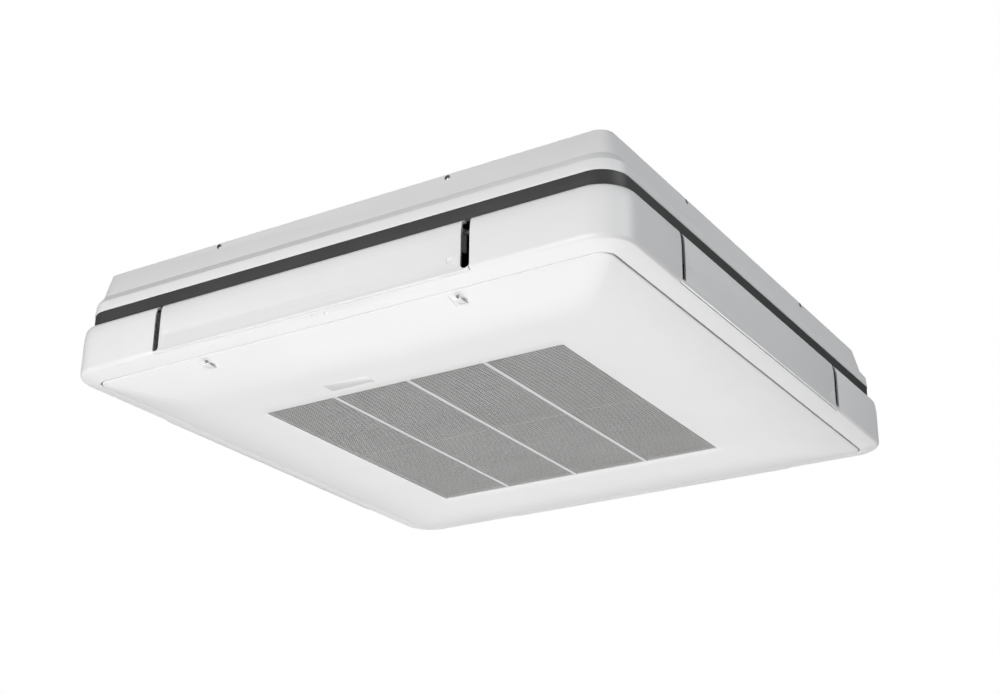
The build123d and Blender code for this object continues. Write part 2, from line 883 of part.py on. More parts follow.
def fan_shroud():
    """The conical ring that joins the blades' lower edges, with a short neck round the eye."""
    eye_out = shroud_eye_radius + shroud_wall
    return turned([
        (shroud_eye_radius, shroud_low), (eye_out, shroud_low), (fan_radius, shroud_top - shroud_wall),
        (fan_radius, shroud_top), (eye_out, shroud_low + 2 * shroud_wall), (
            shroud_eye_radius, shroud_low + 2 * shroud_wall,
        ),
    ])


def fan_blades(hub, shroud):
    """Backward-curved blades that stand between the back plate and the shroud."""
    reach = turned([
        (blade_inner_radius - 3.0, fan_top - 1.0), (blade_outer_radius + 1.0, fan_top - 1.0),
        (blade_outer_radius + 1.0, shroud_top - shroud_wall / 2), (
            shroud_eye_radius + shroud_wall, shroud_low + shroud_wall,
        ),
        (shroud_eye_radius + shroud_wall, throat_top + 5.0), (blade_inner_radius - 3.0, throat_top + 5.0),
    ])
    angle = math.radians(-blade_sweep)
    tip = (blade_outer_radius * math.cos(angle), blade_outer_radius * math.sin(angle))
    curve = RadiusArc((blade_inner_radius, 0.0), tip, blade_arc_radius)
    blade = extrude(
        Plane.XY.offset(shroud_low) * trace(curve, line_width=blade_thickness),
        amount=fan_top - shroud_low,
    )
    blade = (blade & reach) - hub - shroud
    return group([Rot(0, 0, 360.0 / blade_count * index) * blade for index in range(blade_count)])


def boss_low():
    return fan_top - hub_depth - boss_length


def fan_shaft():
    top = motor_top - motor_flange_thickness - motor_height + shaft_embed
    return post(shaft_radius, 0, 0, boss_low() - shaft_nose, top)


def fan_nut():
    nut = extrude(
        Plane.XY.offset(boss_low() - nut_height) * RegularPolygon(
            nut_across_flats / 2, 6, major_radius=False,
        ),
        amount=nut_height,
    )
    return nut - post(
        shaft_radius + running_clearance, 0, 0, boss_low() - nut_height - 1.0, boss_low() + 1.0,
    )


def fan_motor():
    low = motor_top - motor_flange_thickness - motor_height
    body = post(motor_radius, 0, 0, low, motor_top - motor_flange_thickness)
    body = fillet(body.edges().group_by(Axis.Z)[0], 6.0)
    body = body + post(motor_flange_radius, 0, 0, motor_top - motor_flange_thickness, motor_top)
    return body - post(shaft_radius + running_clearance, 0, 0, low - 1.0, low + shaft_embed + 1.0)


def motor_mounts():
    shapes = []
    for index in range(mount_count):
        angle = 2 * math.pi * index / mount_count
        x = mount_circle_radius * math.cos(angle)
        y = mount_circle_radius * math.sin(angle)
        shapes.append(post(mount_radius, x, y, motor_top, plate_low))
    return group(shapes)


def bellmouth():
    """The inlet ring: a flared throat that reaches into the fan's eye, on a square plate."""
    plate_top = pan_floor_top - pan_skirt_depth
    low = plate_top - throat_wall
    ring = turned([
        (throat_radius, throat_top), (throat_radius + throat_wall, throat_top),
        (
            throat_radius + throat_wall, plate_top + throat_flare / 2,
        ), (throat_radius + throat_flare, plate_top),
        (throat_radius + throat_flare, low), (throat_radius + throat_flare - throat_wall, low),
        (throat_radius, plate_top + throat_flare / 2 - throat_wall),
    ])
    plate = square_block(bellmouth_half, low, plate_top, pan_corner_radius)
    return plate - post(
        throat_radius + throat_flare - throat_wall, 0, 0, low - 1.0, plate_top + 1.0,
    ) + ring


def drain_pan():
    """A trough under the heat exchanger, with skirts down to the inlet plate and a flange on the ducts."""
    rim = pan_floor_top + pan_rim_height
    low = pan_floor_top - pan_skirt_depth
    pan = square_block(pan_outer_half, low, rim, pan_corner_radius) - square_block(
        pan_inner_half, low - 1.0, rim + 1.0, pan_corner_radius,
    )
    trough = square_block(
        pan_outer_half - pan_wall, pan_floor_top, rim + 1.0, pan_corner_radius - pan_wall,
    )
    trough = trough - square_block(
        pan_inner_half + pan_wall, pan_floor_top, rim + 1.0, pan_corner_radius + pan_wall,
    )
    hollow = square_block(
        pan_outer_half - pan_wall, low - 1.0, pan_floor_top - pan_wall, pan_corner_radius - pan_wall,
    )
    hollow = hollow - square_block(
        pan_inner_half + pan_wall, low - 2.0, pan_floor_top, pan_corner_radius + pan_wall,
    )
    flange_low = shelf_top + duct_wall
    flange = square_block(
        pan_outer_half + pan_flange, flange_low, flange_low + pan_flange_thickness, pan_corner_radius,
    )
    flange = flange - square_block(
        pan_outer_half - 1.0, flange_low - 1.0, flange_low + 5.0, pan_corner_radius,
    )
    return pan - trough - hollow + flange


def coil_ring(low, high):
    ring = square_block(coil_half, low, high, coil_corner_radius)
    inner = coil_half - coil_thickness
    ring = ring - square_block(inner, low - 1.0, high + 1.0, coil_corner_radius - coil_thickness)
    return ring - block(
        (-coil_half - 1.0, -coil_gap_start), (coil_gap_start, coil_half + 1.0), (low - 1.0, high + 1.0),
    )


def coil_fins():
    """The heat exchanger's fin pack as upright fins between a solid foot and head."""
    low = pan_floor_top
    high = low + coil_height
    fins = coil_ring(low, high)
    gap_z = (low + fin_edge, high - fin_edge)
    straight = coil_half - coil_corner_radius
    reach = (-coil_half - 1.0, -coil_half + coil_thickness + 1.0)
    count = int(2 * straight / fin_pitch)
    middle = coil_half - coil_thickness / 2
    gaps = []
    for index in range(4):
        for step in range(count):
            x = -straight + (step + 0.5) * 2 * straight / count
            place = on_side(Pos(x, -middle, 0.0), index)
            beyond_gap = place.position.X < -coil_gap_start + fin_pitch and place.position.Y > coil_gap_start - fin_pitch
            if not beyond_gap:
                gaps.append(on_side(block((x - fin_gap / 2, x + fin_gap / 2), reach, gap_z), index))
    centre = coil_half - coil_corner_radius
    for index in (0, 1, 3):
        for step in range(corner_gap_count):
            angle = -90.0 + 90.0 * (step + 0.5) / corner_gap_count
            slot = block(
                (coil_corner_radius - coil_thickness - 2.0, coil_corner_radius + 2.0),
                (-fin_gap / 2, fin_gap / 2),
                gap_z,
            )
            gaps.append(on_side(Pos(centre, -centre, 0) * Rot(0, 0, angle) * slot, index))
    return fins - gaps


def coil_ends():
    """Places of the two open ends: the side run's end first, then the back run's end."""
    middle = coil_half - coil_thickness / 2
    return middle, coil_gap_start


def coil_plates():
    low = pan_floor_top
    high = low + coil_height
    reach = (-coil_half, -coil_half + coil_thickness)
    side = block(reach, (coil_gap_start, coil_gap_start + coil_plate_thickness), (low, high))
    back_y = (coil_half - coil_thickness, coil_half)
    back = block((-coil_gap_start - coil_plate_thickness, -coil_gap_start), back_y, (low, high))
    return group([side, back])


def coil_bends():
    middle, start = coil_ends()
    face = start + coil_plate_thickness
    ring = Plane.XZ * Pos(0, bend_radius) * Circle(coil_tube_radius)
    bend = revolve(ring, axis=Axis((0, 0, 0), (-1, 0, 0)), revolution_arc=180.0)
    top = pan_floor_top + coil_height / 2 + bend_pitch * (bend_count - 1) / 2
    shapes = []
    for step in range(bend_count):
        level = top - step * bend_pitch
        for side in (-1, 1):
            offset = middle + side * coil_column_offset
            shapes.append(Pos(-offset, face, level) * bend)
            shapes.append(Pos(-face, offset, level) * Rot(0, 0, 90) * bend)
    return group(shapes)


def gas_pipe():
    """The gas header beside the coil's side run, bent up and out to the back face."""
    middle, start = coil_ends()
    y = start + header_reach
    points = [
        (gas_pipe_x, y, gas_header_low),
        (gas_pipe_x, y, pipe_level),
        (gas_pipe_x, union_start, pipe_level),
    ]
    pipe = tube(points, pipe_bend_radius, gas_pipe_radius)
    middle_level = pan_floor_top + coil_height / 2
    for step in range(feeder_count):
        level = middle_level + (step - (feeder_count - 1) / 2) * feeder_pitch
        pipe = pipe + rod_y(feeder_radius, start + coil_plate_thickness, y, -middle, level)
    return pipe


def liquid_pipe():
    """The liquid header beside the coil's back run, led under the gas pipe and out to the back face."""
    middle, start = coil_ends()
    x = -start - header_reach
    points = [
        (x, middle, liquid_header_top),
        (x, middle, liquid_crossing),
        (liquid_pipe_x, middle, liquid_crossing),
    ]
    points += [(liquid_pipe_x, middle, pipe_level), (liquid_pipe_x, union_start, pipe_level)]
    pipe = tube(points, pipe_bend_radius, liquid_pipe_radius)
    middle_level = pan_floor_top + coil_height / 2
    for step in range(feeder_count):
        level = middle_level + (step - (feeder_count - 1) / 2) * feeder_pitch
        pipe = pipe + rod_x(feeder_radius, x, -start - coil_plate_thickness, middle, level)
    return pipe


def pipe_union(x, thread_radius, thread_length, across_flats, bore):
    """A brass flare union: a hexagon inside the casing and a threaded nose outside it."""
    hexagon = Plane(
        origin=(x, union_start, pipe_level), z_dir=(0, 1, 0),
    ) * RegularPolygon(across_flats / 2, 6, major_radius=False)
    body = extrude(hexagon, amount=union_hex_length)
    body = body + rod_y(thread_radius - 1.0, union_start + 1.0, union_end - thread_length, x, pipe_level)
    body = body + rod_y(thread_radius, union_end - thread_length, union_end, x, pipe_level)
    return body - rod_y(bore, union_start + union_hex_length / 2, union_end + 1.0, x, pipe_level)


def drain_pump():
    """The pump body with its intake cup, hollow for the impeller, and a side nozzle."""
    body = post(pump_radius, pump_centre, pump_centre, pump_floor, pump_top)
    body = fillet(body.edges().group_by(Axis.Z)[-1], 4.0)
    body = body + post(cup_radius, pump_centre, pump_centre, cup_low, pump_floor)
    cavity = post(cup_radius - cup_wall, pump_centre, pump_centre, cup_low - 1.0, pump_floor)
    nozzle = rod_x(
        pump_nozzle_radius,
        pump_centre,
        pump_centre + pump_radius + pump_nozzle_reach,
        pump_centre,
        pump_outlet_level,
    )
    body = body - cavity + nozzle
    top = pump_floor + impeller_shaft_grip
    return body - post(
        impeller_shaft_radius + running_clearance, pump_centre, pump_centre, pump_floor - 1.0, top + 1.0,
    )


def pump_impeller():
    low = cup_low + impeller_lift
    wheel = post(impeller_shaft_radius + 1.5, pump_centre, pump_centre, low, low + impeller_height)
    for index in range(4):
        vane = block((0.0, impeller_radius), (-0.8, 0.8), (low, low + impeller_height))
        wheel = wheel + Pos(pump_centre, pump_centre, 0) * Rot(0, 0, 90 * index + 20) * vane
    return wheel + post(
        impeller_shaft_radius, pump_centre, pump_centre, low, pump_floor + impeller_shaft_grip,
    )


def pump_bracket():
    """A steel strap that hangs the pump from the top plate."""
    end = pump_centre + strap_reach
    half = strap_width / 2
    shelf = block(
        (pump_centre - half, end),
        (pump_centre - half, pump_centre + half),
        (pump_top, pump_top + strap_thickness),
    )
    return shelf + block(
        (end - strap_thickness, end), (pump_centre - half, pump_centre + half), (pump_top, plate_low),
    )


def drain_hose():
    start = pump_centre + pump_radius + seat_gap + 1.0
    points = [
        (start, pump_centre, pump_outlet_level), (drain_x, pump_centre, pump_outlet_level),
        (drain_x, pump_centre, pipe_level), (drain_x, drain_start, pipe_level),
    ]
    return tube(points, hose_bend_radius, hose_radius, hose_bore)


def drain_socket():
    """The drain outlet: a plain nose outside the casing and a slightly thinner neck inside it."""
    socket = rod_y(drain_radius, drain_shoulder, drain_end, drain_x, pipe_level)
    socket = socket + rod_y(drain_radius - drain_step, drain_start, drain_shoulder, drain_x, pipe_level)
    socket = socket - rod_y(drain_bore, drain_start + 3.0, drain_end + 1.0, drain_x, pipe_level)
    return socket - rod_y(hose_bore, drain_start - 1.0, drain_start + 4.0, drain_x, pipe_level)


def float_switch():
    """The switch head on its strap, with the guide stem for the float."""
    half = switch_head / 2
    head_high = stem_top + switch_head_height
    head = block(
        (float_x - half, float_x + half), (float_y - half, float_y + half), (stem_top, head_high),
    )
    stem = post(stem_radius, float_x, float_y, pan_floor_top + 0.1, stem_top)
    strap_x = (float_x + half - strap_thickness, float_x + half)
    strap_y = (float_y - half, float_y + half)
    return head + stem + block(strap_x, strap_y, (head_high, plate_low))


def pump_float():
    low = pan_floor_top + float_lift
    body = post(float_radius, float_x, float_y, low, low + float_height)
    return body - post(
        stem_radius + running_clearance, float_x, float_y, low - 1.0, low + float_height + 1.0,
    )


def control_box():
    """A sheet-metal box hung from the top plate by two of its walls, open at the bottom."""
    low = box_top - box_depth
    x = (box_low_x, box_high_x)
    y = (box_low_y, box_high_y)
    box = block(x, y, (low, plate_low))
    box = box - block((x[0] + sheet, x[1] - sheet), (y[0] - 1.0, y[1] + 1.0), (box_top, plate_low + 1.0))
    box = box - block(
        (x[0] + sheet, x[1] - sheet), (y[0] + sheet, y[1] - sheet), (low - 1.0, box_top - sheet),
    )
    box = box - rod_x(gland_bore + 1.0, box_low_x - 1.0, box_low_x + sheet + 1.0, gland_y, pipe_level)
    box = box - post(box_entry_radius, box_entry_x, box_entry_y, box_top - 2 * sheet, box_top + 1.0)
    for foot_x, foot_y in board_feet():
        box = box + post(board_foot_radius, foot_x, foot_y, board_top(), box_top - sheet + 0.1)
    return box


def board_feet():
    inset = sheet + board_margin + 6.0
    return [
        (x, y)
        for x in (box_low_x + inset, box_high_x - inset)
        for y in (box_low_y + inset, box_high_y - inset)
    ]


def board_top():
    return box_top - sheet - board_drop + board_thickness


def circuit_board():
    """The main board with its heat sink and a row of capacitors and relays."""
    inset = sheet + board_margin
    x = (box_low_x + inset, box_high_x - inset)
    y = (box_low_y + inset, box_high_y - inset)
    low = board_top() - board_thickness
    board = block(x, y, (low, board_top()))
    board = board + block(
        (x[0] + 12.0, x[0] + 36.0), (y[0] + 14.0, y[0] + 54.0), (board_top(), board_top() + 22.0),
    )
    for step in range(3):
        board = board + post(5.0, x[1] - 16.0, y[0] + 20.0 + 14.0 * step, board_top(), board_top() + 20.0)
    return board


def control_cover():
    low = box_top - box_depth
    return block((box_low_x, box_high_x), (box_low_y, box_high_y), (low - sheet, low))


def terminal_block():
    """Screw terminals on the box's end wall, beside the cable entry."""
    high = box_top - sheet - terminal_drop
    y = box_high_y - sheet
    middle = (box_low_x + box_high_x) / 2
    body = block(
        (middle - terminal_length / 2, middle + terminal_length / 2),
        (y - terminal_height, y),
        (high - terminal_width, high),
    )
    for step in range(5):
        x = middle - terminal_length / 2 + (step + 0.5) * terminal_length / 5
        pocket = block(
            (x - 4.0, x + 4.0),
            (y - terminal_height - 1.0, y - terminal_height + 6.0),
            (high - terminal_width + 4.0, high - 4.0),
        )
        body = body - pocket
    return body


def cable_gland():
    tube_start = box_low_x - 0.5
    body = rod_x(gland_radius, -gland_end, tube_start, gland_y, pipe_level)
    collar = Plane(
        origin=(-gland_end, gland_y, pipe_level), z_dir=(1, 0, 0),
    ) * RegularPolygon(gland_nut / 2, 6, major_radius=False)
    body = body + extrude(collar, amount=gland_nut_width)
    body = body - rod_x(gland_bore, -gland_end - 1.0, tube_start + 1.0, gland_y, pipe_level)
    return body - rod_x(
        gland_throat, -gland_end + gland_bore_length, tube_start + 1.0, gland_y, pipe_level,
    )


def thermistor():
    """A sensor bulb in a clip under the inlet plate."""
    plate = pan_floor_top - pan_skirt_depth - throat_wall
    level = plate - thermistor_radius - 1.0
    x = (thermistor_x - thermistor_clip / 2, thermistor_x + thermistor_clip / 2)
    clip = block(x, (thermistor_y - 4.0, thermistor_y + 4.0), (level - thermistor_radius - 1.0, plate))
    bulb = rod_x(
        thermistor_radius,
        thermistor_x - thermistor_length / 2,
        thermistor_x + thermistor_length / 2,
        thermistor_y,
        level,
    )
    return clip + bulb


def save(name, shape):
    label = name.replace("_", " ")
    solids = shape.solids()
    part = solids[0] if len(solids) == 1 else Compound(children=list(solids))
    part.label = label
    export_step(part, os.path.join("parts", name + ".step"))


def corners(make):
    return group([make(x, y) for x in (-1, 1) for y in (-1, 1)])


def all_sides(make):
    return group([on_side(make, index) for index in range(4)])


def build():
    save("top_plate", top_plate())
    save("hanger_brackets", corners(hanger_bracket))
    save("bracket_screws", group([bracket_screw(x, y) for x, y in bracket_screw_places()]))
    save("top_insulation", top_insulation())
    save("upper_casing", upper_casing())
    screws = group([casing_screw(offset) for offset in casing_screw_offsets])
    save("casing_screws", all_sides(screws))
    save("corner_posts", corners(corner_post))
    save("band_ring", band_ring())
    save("lower_frame", lower_frame())
    duct, one_flap, shaft = outlet_duct(), flap(), flap_shaft()
    for index, side in enumerate(side_names):
        save("outlet_duct_" + side, on_side(duct, index))
        save("flap_" + side, on_side(one_flap, index))
        save("flap_shaft_" + side, on_side(shaft, index))
    save("flap_bushes", all_sides(bushes()))
    save("flap_motors", all_sides(flap_motor()))
    save("suction_panel", suction_panel())
    save("hinge_pins", group([hinge_pin(offset) for offset in hinge_offsets]))
    save("latch_knob_left", latch_knob(latch_offsets[0]))
    save("latch_knob_right", latch_knob(latch_offsets[1]))
    save("badge_plate", badge_plate())
    save("intake_grille", intake_grille())
    save("filter_frame", filter_frame())
    save("filter_net", filter_net())
    hub, shroud = fan_hub(), fan_shroud()
    save("fan_hub", hub)
    save("fan_shroud", shroud)
    save("fan_blades", fan_blades(hub, shroud))
    save("fan_shaft", fan_shaft())
    save("fan_nut", fan_nut())
    save("fan_motor", fan_motor())
    save("motor_mounts", motor_mounts())
    save("bellmouth", bellmouth())
    save("drain_pan", drain_pan())
    save("coil_fins", coil_fins())
    save("coil_plates", coil_plates())
    save("coil_bends", coil_bends())
    save("gas_pipe", gas_pipe())
    save("liquid_pipe", liquid_pipe())
    save(
        "gas_union",
        pipe_union(
            gas_pipe_x, gas_thread_radius, gas_thread_length, gas_hex, gas_pipe_radius - pipe_wall,
        ),
    )
    save(
        "liquid_union",
        pipe_union(
            liquid_pipe_x,
            liquid_thread_radius,
            liquid_thread_length,
            liquid_hex,
            liquid_pipe_radius - pipe_wall,
        ),
    )
    save("drain_pump", drain_pump())
    save("pump_impeller", pump_impeller())
    save("pump_bracket", pump_bracket())
    save("drain_hose", drain_hose())
    save("drain_socket", drain_socket())
    save("float_switch", float_switch())
    save("pump_float", pump_float())
    save("control_box", control_box())
    save("control_cover", control_cover())
    save("circuit_board", circuit_board())
    save("terminal_block", terminal_block())
    save("cable_gland", cable_gland())
    save("suction_thermistor", thermistor())


os.makedirs("parts", exist_ok=True)
build()
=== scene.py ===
import json
import math

import bmesh
import bpy
from mathutils import Matrix, Vector


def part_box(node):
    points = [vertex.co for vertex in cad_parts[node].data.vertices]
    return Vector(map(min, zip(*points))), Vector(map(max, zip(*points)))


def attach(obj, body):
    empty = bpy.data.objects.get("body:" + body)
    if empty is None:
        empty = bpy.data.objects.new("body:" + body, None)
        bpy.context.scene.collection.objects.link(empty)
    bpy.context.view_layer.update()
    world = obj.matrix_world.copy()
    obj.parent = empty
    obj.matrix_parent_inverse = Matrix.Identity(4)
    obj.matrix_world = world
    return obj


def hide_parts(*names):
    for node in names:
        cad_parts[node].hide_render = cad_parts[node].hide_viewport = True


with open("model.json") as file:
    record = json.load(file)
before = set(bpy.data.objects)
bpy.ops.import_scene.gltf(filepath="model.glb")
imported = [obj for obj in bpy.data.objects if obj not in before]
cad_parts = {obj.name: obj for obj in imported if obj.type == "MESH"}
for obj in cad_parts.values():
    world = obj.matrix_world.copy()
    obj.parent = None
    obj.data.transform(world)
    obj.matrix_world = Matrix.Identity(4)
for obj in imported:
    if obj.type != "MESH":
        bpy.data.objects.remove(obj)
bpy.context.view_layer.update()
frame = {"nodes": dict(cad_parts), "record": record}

# A square air conditioner unit that hangs under a ceiling, seen from below. Sizes are in
# millimetres here and become metres when a mesh is made. A half width runs from the centre
# line to a side; a level is a height, with the brackets' upper face at 0. What all four sides
# have is built for the front, which looks along -y, and turned.
MM = 0.001
SIDES = ("front", "right", "back", "left")
ALL_SIDES = range(4)
CORNER_STEPS = 14

# Levels from the top down, each with its half width.
CASING_TOP, SKIRT_TOP_HALF = 0.0, 443.0
SKIRT_LOW, SKIRT_LOW_HALF = -39.6, 453.0
FLARE_LOW, FLARE_HALF = -52.8, 462.0
LIP_LOW, LIP_HALF = -69.7, 463.4
WALL_TOP, LEDGE_HALF = -94.3, 459.5
WALL_LOW, WALL_HALF = -171.0, 475.0
RIM_LOW, RIM_HALF = -178.5, 443.0
PANEL_LOW, PANEL_HALF = -198.0, 441.0
WALL_RADIUS = 53.0
LEAST_RADIUS = 3.0
FLAT_HALF = 322.0
PAST_WALL = 480.0

# The walls' rounded shoulder and the taper under it.
SHOULDER_TOP = WALL_TOP + 0.5
SHOULDER_RADIUS = 8.0
SHOULDER_CENTRE = 465.5
SHOULDER_TURN = math.radians(78.0)
TAPER_LOW = -118.0
WALL_SKIN = 3.0

# Outlets: where each starts and ends along its side, its shelf, and its flap's axis.
OUTLET_START = -298.4
OUTLET_END = 254.7
SHELF_TOP = WALL_LOW + 1.2
SHELF_LOW = SHELF_TOP - 2.2
FLAP_LOW = WALL_LOW - 1.0
AXIS_HALF = 459.0
AXIS_LEVEL = WALL_TOP - 14.2

# Suction panel: the intake's opening, the latches at the front and the hinges at the back.
OPENING_X = 265.0
OPENING_Y = 250.5
EDGE_TOP = RIM_LOW + 3.2
LATCHES = (-232.0, 208.0)
BOLT_LEVEL = EDGE_TOP + 1.2
BOLT_THICK = 1.6
HINGES = (-300.0, 300.0)
HINGE_HALF = 438.0
HINGE_LEVEL = RIM_LOW + 1.5
HINGE_HOLE = 1.55


def corner_radius(half):
    """The radius of the unit's upright corners at a half width."""
    return max(WALL_RADIUS - (WALL_HALF - half), LEAST_RADIUS)


def panel_level(half):
    """The level of the panel's curved underside at a half width."""
    share = min(max((half - FLAT_HALF) / (PANEL_HALF - FLAT_HALF), 0.0), 1.0)
    return PANEL_LOW + (RIM_LOW - PANEL_LOW) * share * share


def shoulder(inset=0.0, steps=8):
    """A wall's rounded top edge and the slow taper under it, as far inside the face as asked."""
    points = []
    centre = SHOULDER_TOP - SHOULDER_RADIUS
    reach = SHOULDER_RADIUS - inset
    for step in range(steps + 1):
        angle = SHOULDER_TURN * step / steps
        points.append((SHOULDER_CENTRE + reach * math.sin(angle), centre + reach * math.cos(angle), 0.0))
    start = SHOULDER_CENTRE + SHOULDER_RADIUS * math.sin(SHOULDER_TURN)
    high = centre + SHOULDER_RADIUS * math.cos(SHOULDER_TURN)
    for step in range(1, steps + 1):
        level = high + (TAPER_LOW - high) * step / steps
        share = (level - TAPER_LOW) / (high - TAPER_LOW)
        points.append((WALL_HALF - (WALL_HALF - start) * share * share - inset, level, 0.0))
    return points


# Outlines.
def about(middle, reach):
    """The two ends of a span with its middle at a place."""
    return (middle - reach, middle + reach)


def circle(a, b, radius, steps):
    turns = [2 * math.pi * step / steps for step in range(steps)]
    return [(a + radius * math.cos(turn), b + radius * math.sin(turn)) for turn in turns]


def rounded(points, steps=5):
    """A closed outline of (u, v, radius) corners with each corner rounded."""
    out = []
    count = len(points)
    for i, (u, v, radius) in enumerate(points):
        here = Vector((u, v))
        before = Vector(points[i - 1][:2]) - here
        after = Vector(points[(i + 1) % count][:2]) - here
        if radius <= 0 or before.length < 1e-6 or after.length < 1e-6:
            out.append((u, v))
            continue
        a, b = before.normalized(), after.normalized()
        turn = math.acos(max(-1.0, min(1.0, a.dot(b))))
        if turn > math.pi - 1e-3 or turn < 1e-3:
            out.append((u, v))
            continue
        reach = radius / math.tan(turn / 2)
        limit = 0.499 * min(before.length, after.length)
        if reach > limit:
            reach = limit
        small = reach * math.tan(turn / 2)
        centre = here + (a + b).normalized() * (small / math.sin(turn / 2))
        start = here + a * reach - centre
        end = here + b * reach - centre
        swing = start.angle_signed(end)
        for step in range(steps + 1):
            angle = swing * step / steps
            c, s = math.cos(-angle), math.sin(-angle)
            out.append((centre.x + start.x * c - start.y * s, centre.y + start.x * s + start.y * c))
    return out


def ring(half_x, half_y, radius, level, steps=10):
    """Points of a level rounded rectangle, the same number for every size."""
    points = []
    for quarter, (x, y) in enumerate(((1, 1), (-1, 1), (-1, -1), (1, -1))):
        centre = (x * (half_x - radius), y * (half_y - radius))
        for step in range(steps + 1):
            angle = math.pi / 2 * (quarter + step / steps)
            across = radius * math.cos(angle), radius * math.sin(angle)
            points.append((centre[0] + across[0], centre[1] + across[1], level))
    return points


# Meshes. Each builder adds one closed shape to a bmesh, from sizes in millimetres.
def add_loops(bm, loops, closed=True):
    """Joins equal loops of points by quads; closed joins the last loop to the first."""
    rows = [[bm.verts.new(Vector(p) * MM) for p in loop] for loop in loops]
    pairs = list(zip(rows, rows[1:])) + ([(rows[-1], rows[0])] if closed else [])
    for low, high in pairs:
        for i in range(len(low)):
            j = (i + 1) % len(low)
            bm.faces.new((low[i], low[j], high[j], high[i]))
    if not closed:
        bm.faces.new(rows[0][::-1])
        bm.faces.new(rows[-1])


def add_swept(bm, profile):
    """A ring round the unit, from a closed outline of half widths and levels."""
    add_loops(bm, [ring(half, half, corner_radius(half), level, CORNER_STEPS) for half, level in profile])


def add_prism(bm, outline, place, start, end):
    """An outline moved from start to end; place(u, v, t) gives a point."""
    add_loops(bm, [[place(u, v, t) for u, v in outline] for t in (start, end)], closed=False)


def along_x(u, v, t):
    return (t, u, v)


def along_y(u, v, t):
    return (u, t, v)


def along_z(u, v, t):
    return (u, v, t)


def along_front(u, v, t):
    """A half width u and a level v at a distance t along the front side."""
    return (t, -u, v)


def add_box(bm, x, y, z):
    outline = [(x[0], y[0]), (x[1], y[0]), (x[1], y[1]), (x[0], y[1])]
    add_prism(bm, outline, along_z, z[0], z[1])


def add_rod(bm, place, radius, start, end, a, b, steps=28):
    """A round rod along x, y or z through the point (a, b) of the other two axes."""
    add_prism(bm, circle(a, b, radius, steps), place, start, end)


def add_turned(bm, build, side):
    """What build(part) makes for the front, turned to a side."""
    part = bmesh.new()
    build(part)
    turn = Matrix.Rotation(math.pi / 2 * side, 3, "Z")
    bmesh.ops.rotate(part, cent=(0, 0, 0), matrix=turn, verts=part.verts)
    piece = bpy.data.meshes.new("piece")
    part.to_mesh(piece)
    part.free()
    bm.from_mesh(piece)
    bpy.data.meshes.remove(piece)


def piece_name(name):
    return name.replace(" ", "_") + "_form"


def placed(name, data):
    """A new object in the scene, at the origin."""
    obj = bpy.data.objects.new(name, data)
    bpy.context.scene.collection.objects.link(obj)
    return obj


def object_from(name, bm):
    """A new object with a bmesh's mesh; the bmesh is freed."""
    mesh = bpy.data.meshes.new(piece_name(name))
    bm.to_mesh(mesh)
    bm.free()
    return placed(piece_name(name), mesh)


def made(name, build, sides=(0,)):
    """An object with the shapes of build(bm), on each of the sides."""
    bm = bmesh.new()
    for side in sides:
        add_turned(bm, build, side)
    bmesh.ops.recalc_face_normals(bm, faces=bm.faces)
    return object_from(name, bm)


def joined(name, parts):
    """One object in place of several."""
    bm = bmesh.new()
    for part in parts:
        bm.from_mesh(part.data)
        bpy.data.objects.remove(part, do_unlink=True)
    return object_from(name, bm)


def applied(obj):
    """Replaces an object's mesh by what its modifiers make of it."""
    graph = bpy.context.evaluated_depsgraph_get()
    mesh = bpy.data.meshes.new_from_object(obj.evaluated_get(graph))
    mesh.name = obj.name
    obj.modifiers.clear()
    obj.data = mesh
    return obj


def cut(obj, cutter, operation="DIFFERENCE"):
    """Takes the cutter's shapes out of an object, or joins them to it."""
    tool = obj.modifiers.new("cut", "BOOLEAN")
    tool.operation = operation
    tool.solver = "EXACT"
    tool.use_self = True
    tool.object = cutter
    applied(obj)
    bpy.data.objects.remove(cutter, do_unlink=True)
    return obj


def shaded(obj, angle):
    """Shades an object smooth, apart from edges sharper than the angle."""
    obj.data.shade_smooth()
    obj.data.set_sharp_from_angle(angle=math.radians(angle))
    return obj


WELD = 2e-6
SHARP_ANGLE = 35.0


def softened(obj, width, segments=2):
    """Rounds the sharp edges and shades the rest smooth."""
    bm = bmesh.new()
    bm.from_mesh(obj.data)
    bmesh.ops.remove_doubles(bm, verts=bm.verts, dist=WELD)
    bmesh.ops.dissolve_degenerate(bm, edges=bm.edges, dist=WELD)
    bm.to_mesh(obj.data)
    bm.free()
    bevel = obj.modifiers.new("soft edges", "BEVEL")
    bevel.width = width * MM
    bevel.segments = segments
    bevel.limit_method = "ANGLE"
    bevel.angle_limit = math.radians(SHARP_ANGLE)
    bevel.use_clamp_overlap = True
    return shaded(applied(obj), SHARP_ANGLE)


def fitted(obj, body, nodes, slot):
    """Puts a piece on its body, in place of its CAD nodes, with the slot's material."""
    obj.data.materials.clear()
    obj.data.materials.append(MATERIALS[slot])
    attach(obj, body)
    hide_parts(*nodes)
    return obj


# Node groups that several materials share.
def shader_group(name, inputs, outputs, build):
    tree = bpy.data.node_groups.new(name, "ShaderNodeTree")
    for label, kind, value in inputs:
        socket = tree.interface.new_socket(label, in_out="INPUT", socket_type=kind)
        if value is not None:
            socket.default_value = value
    for label, kind in outputs:
        tree.interface.new_socket(label, in_out="OUTPUT", socket_type=kind)
    entry = tree.nodes.new("NodeGroupInput")
    leave = tree.nodes.new("NodeGroupOutput")
    build(tree, entry, leave)
    return tree


def noise(tree, vector, scale, detail, rough=0.5):
    node = tree.nodes.new("ShaderNodeTexNoise")
    node.inputs["Scale"].default_value = scale
    node.inputs["Detail"].default_value = detail
    node.inputs["Roughness"].default_value = rough
    tree.links.new(vector, node.inputs["Vector"])
    return node


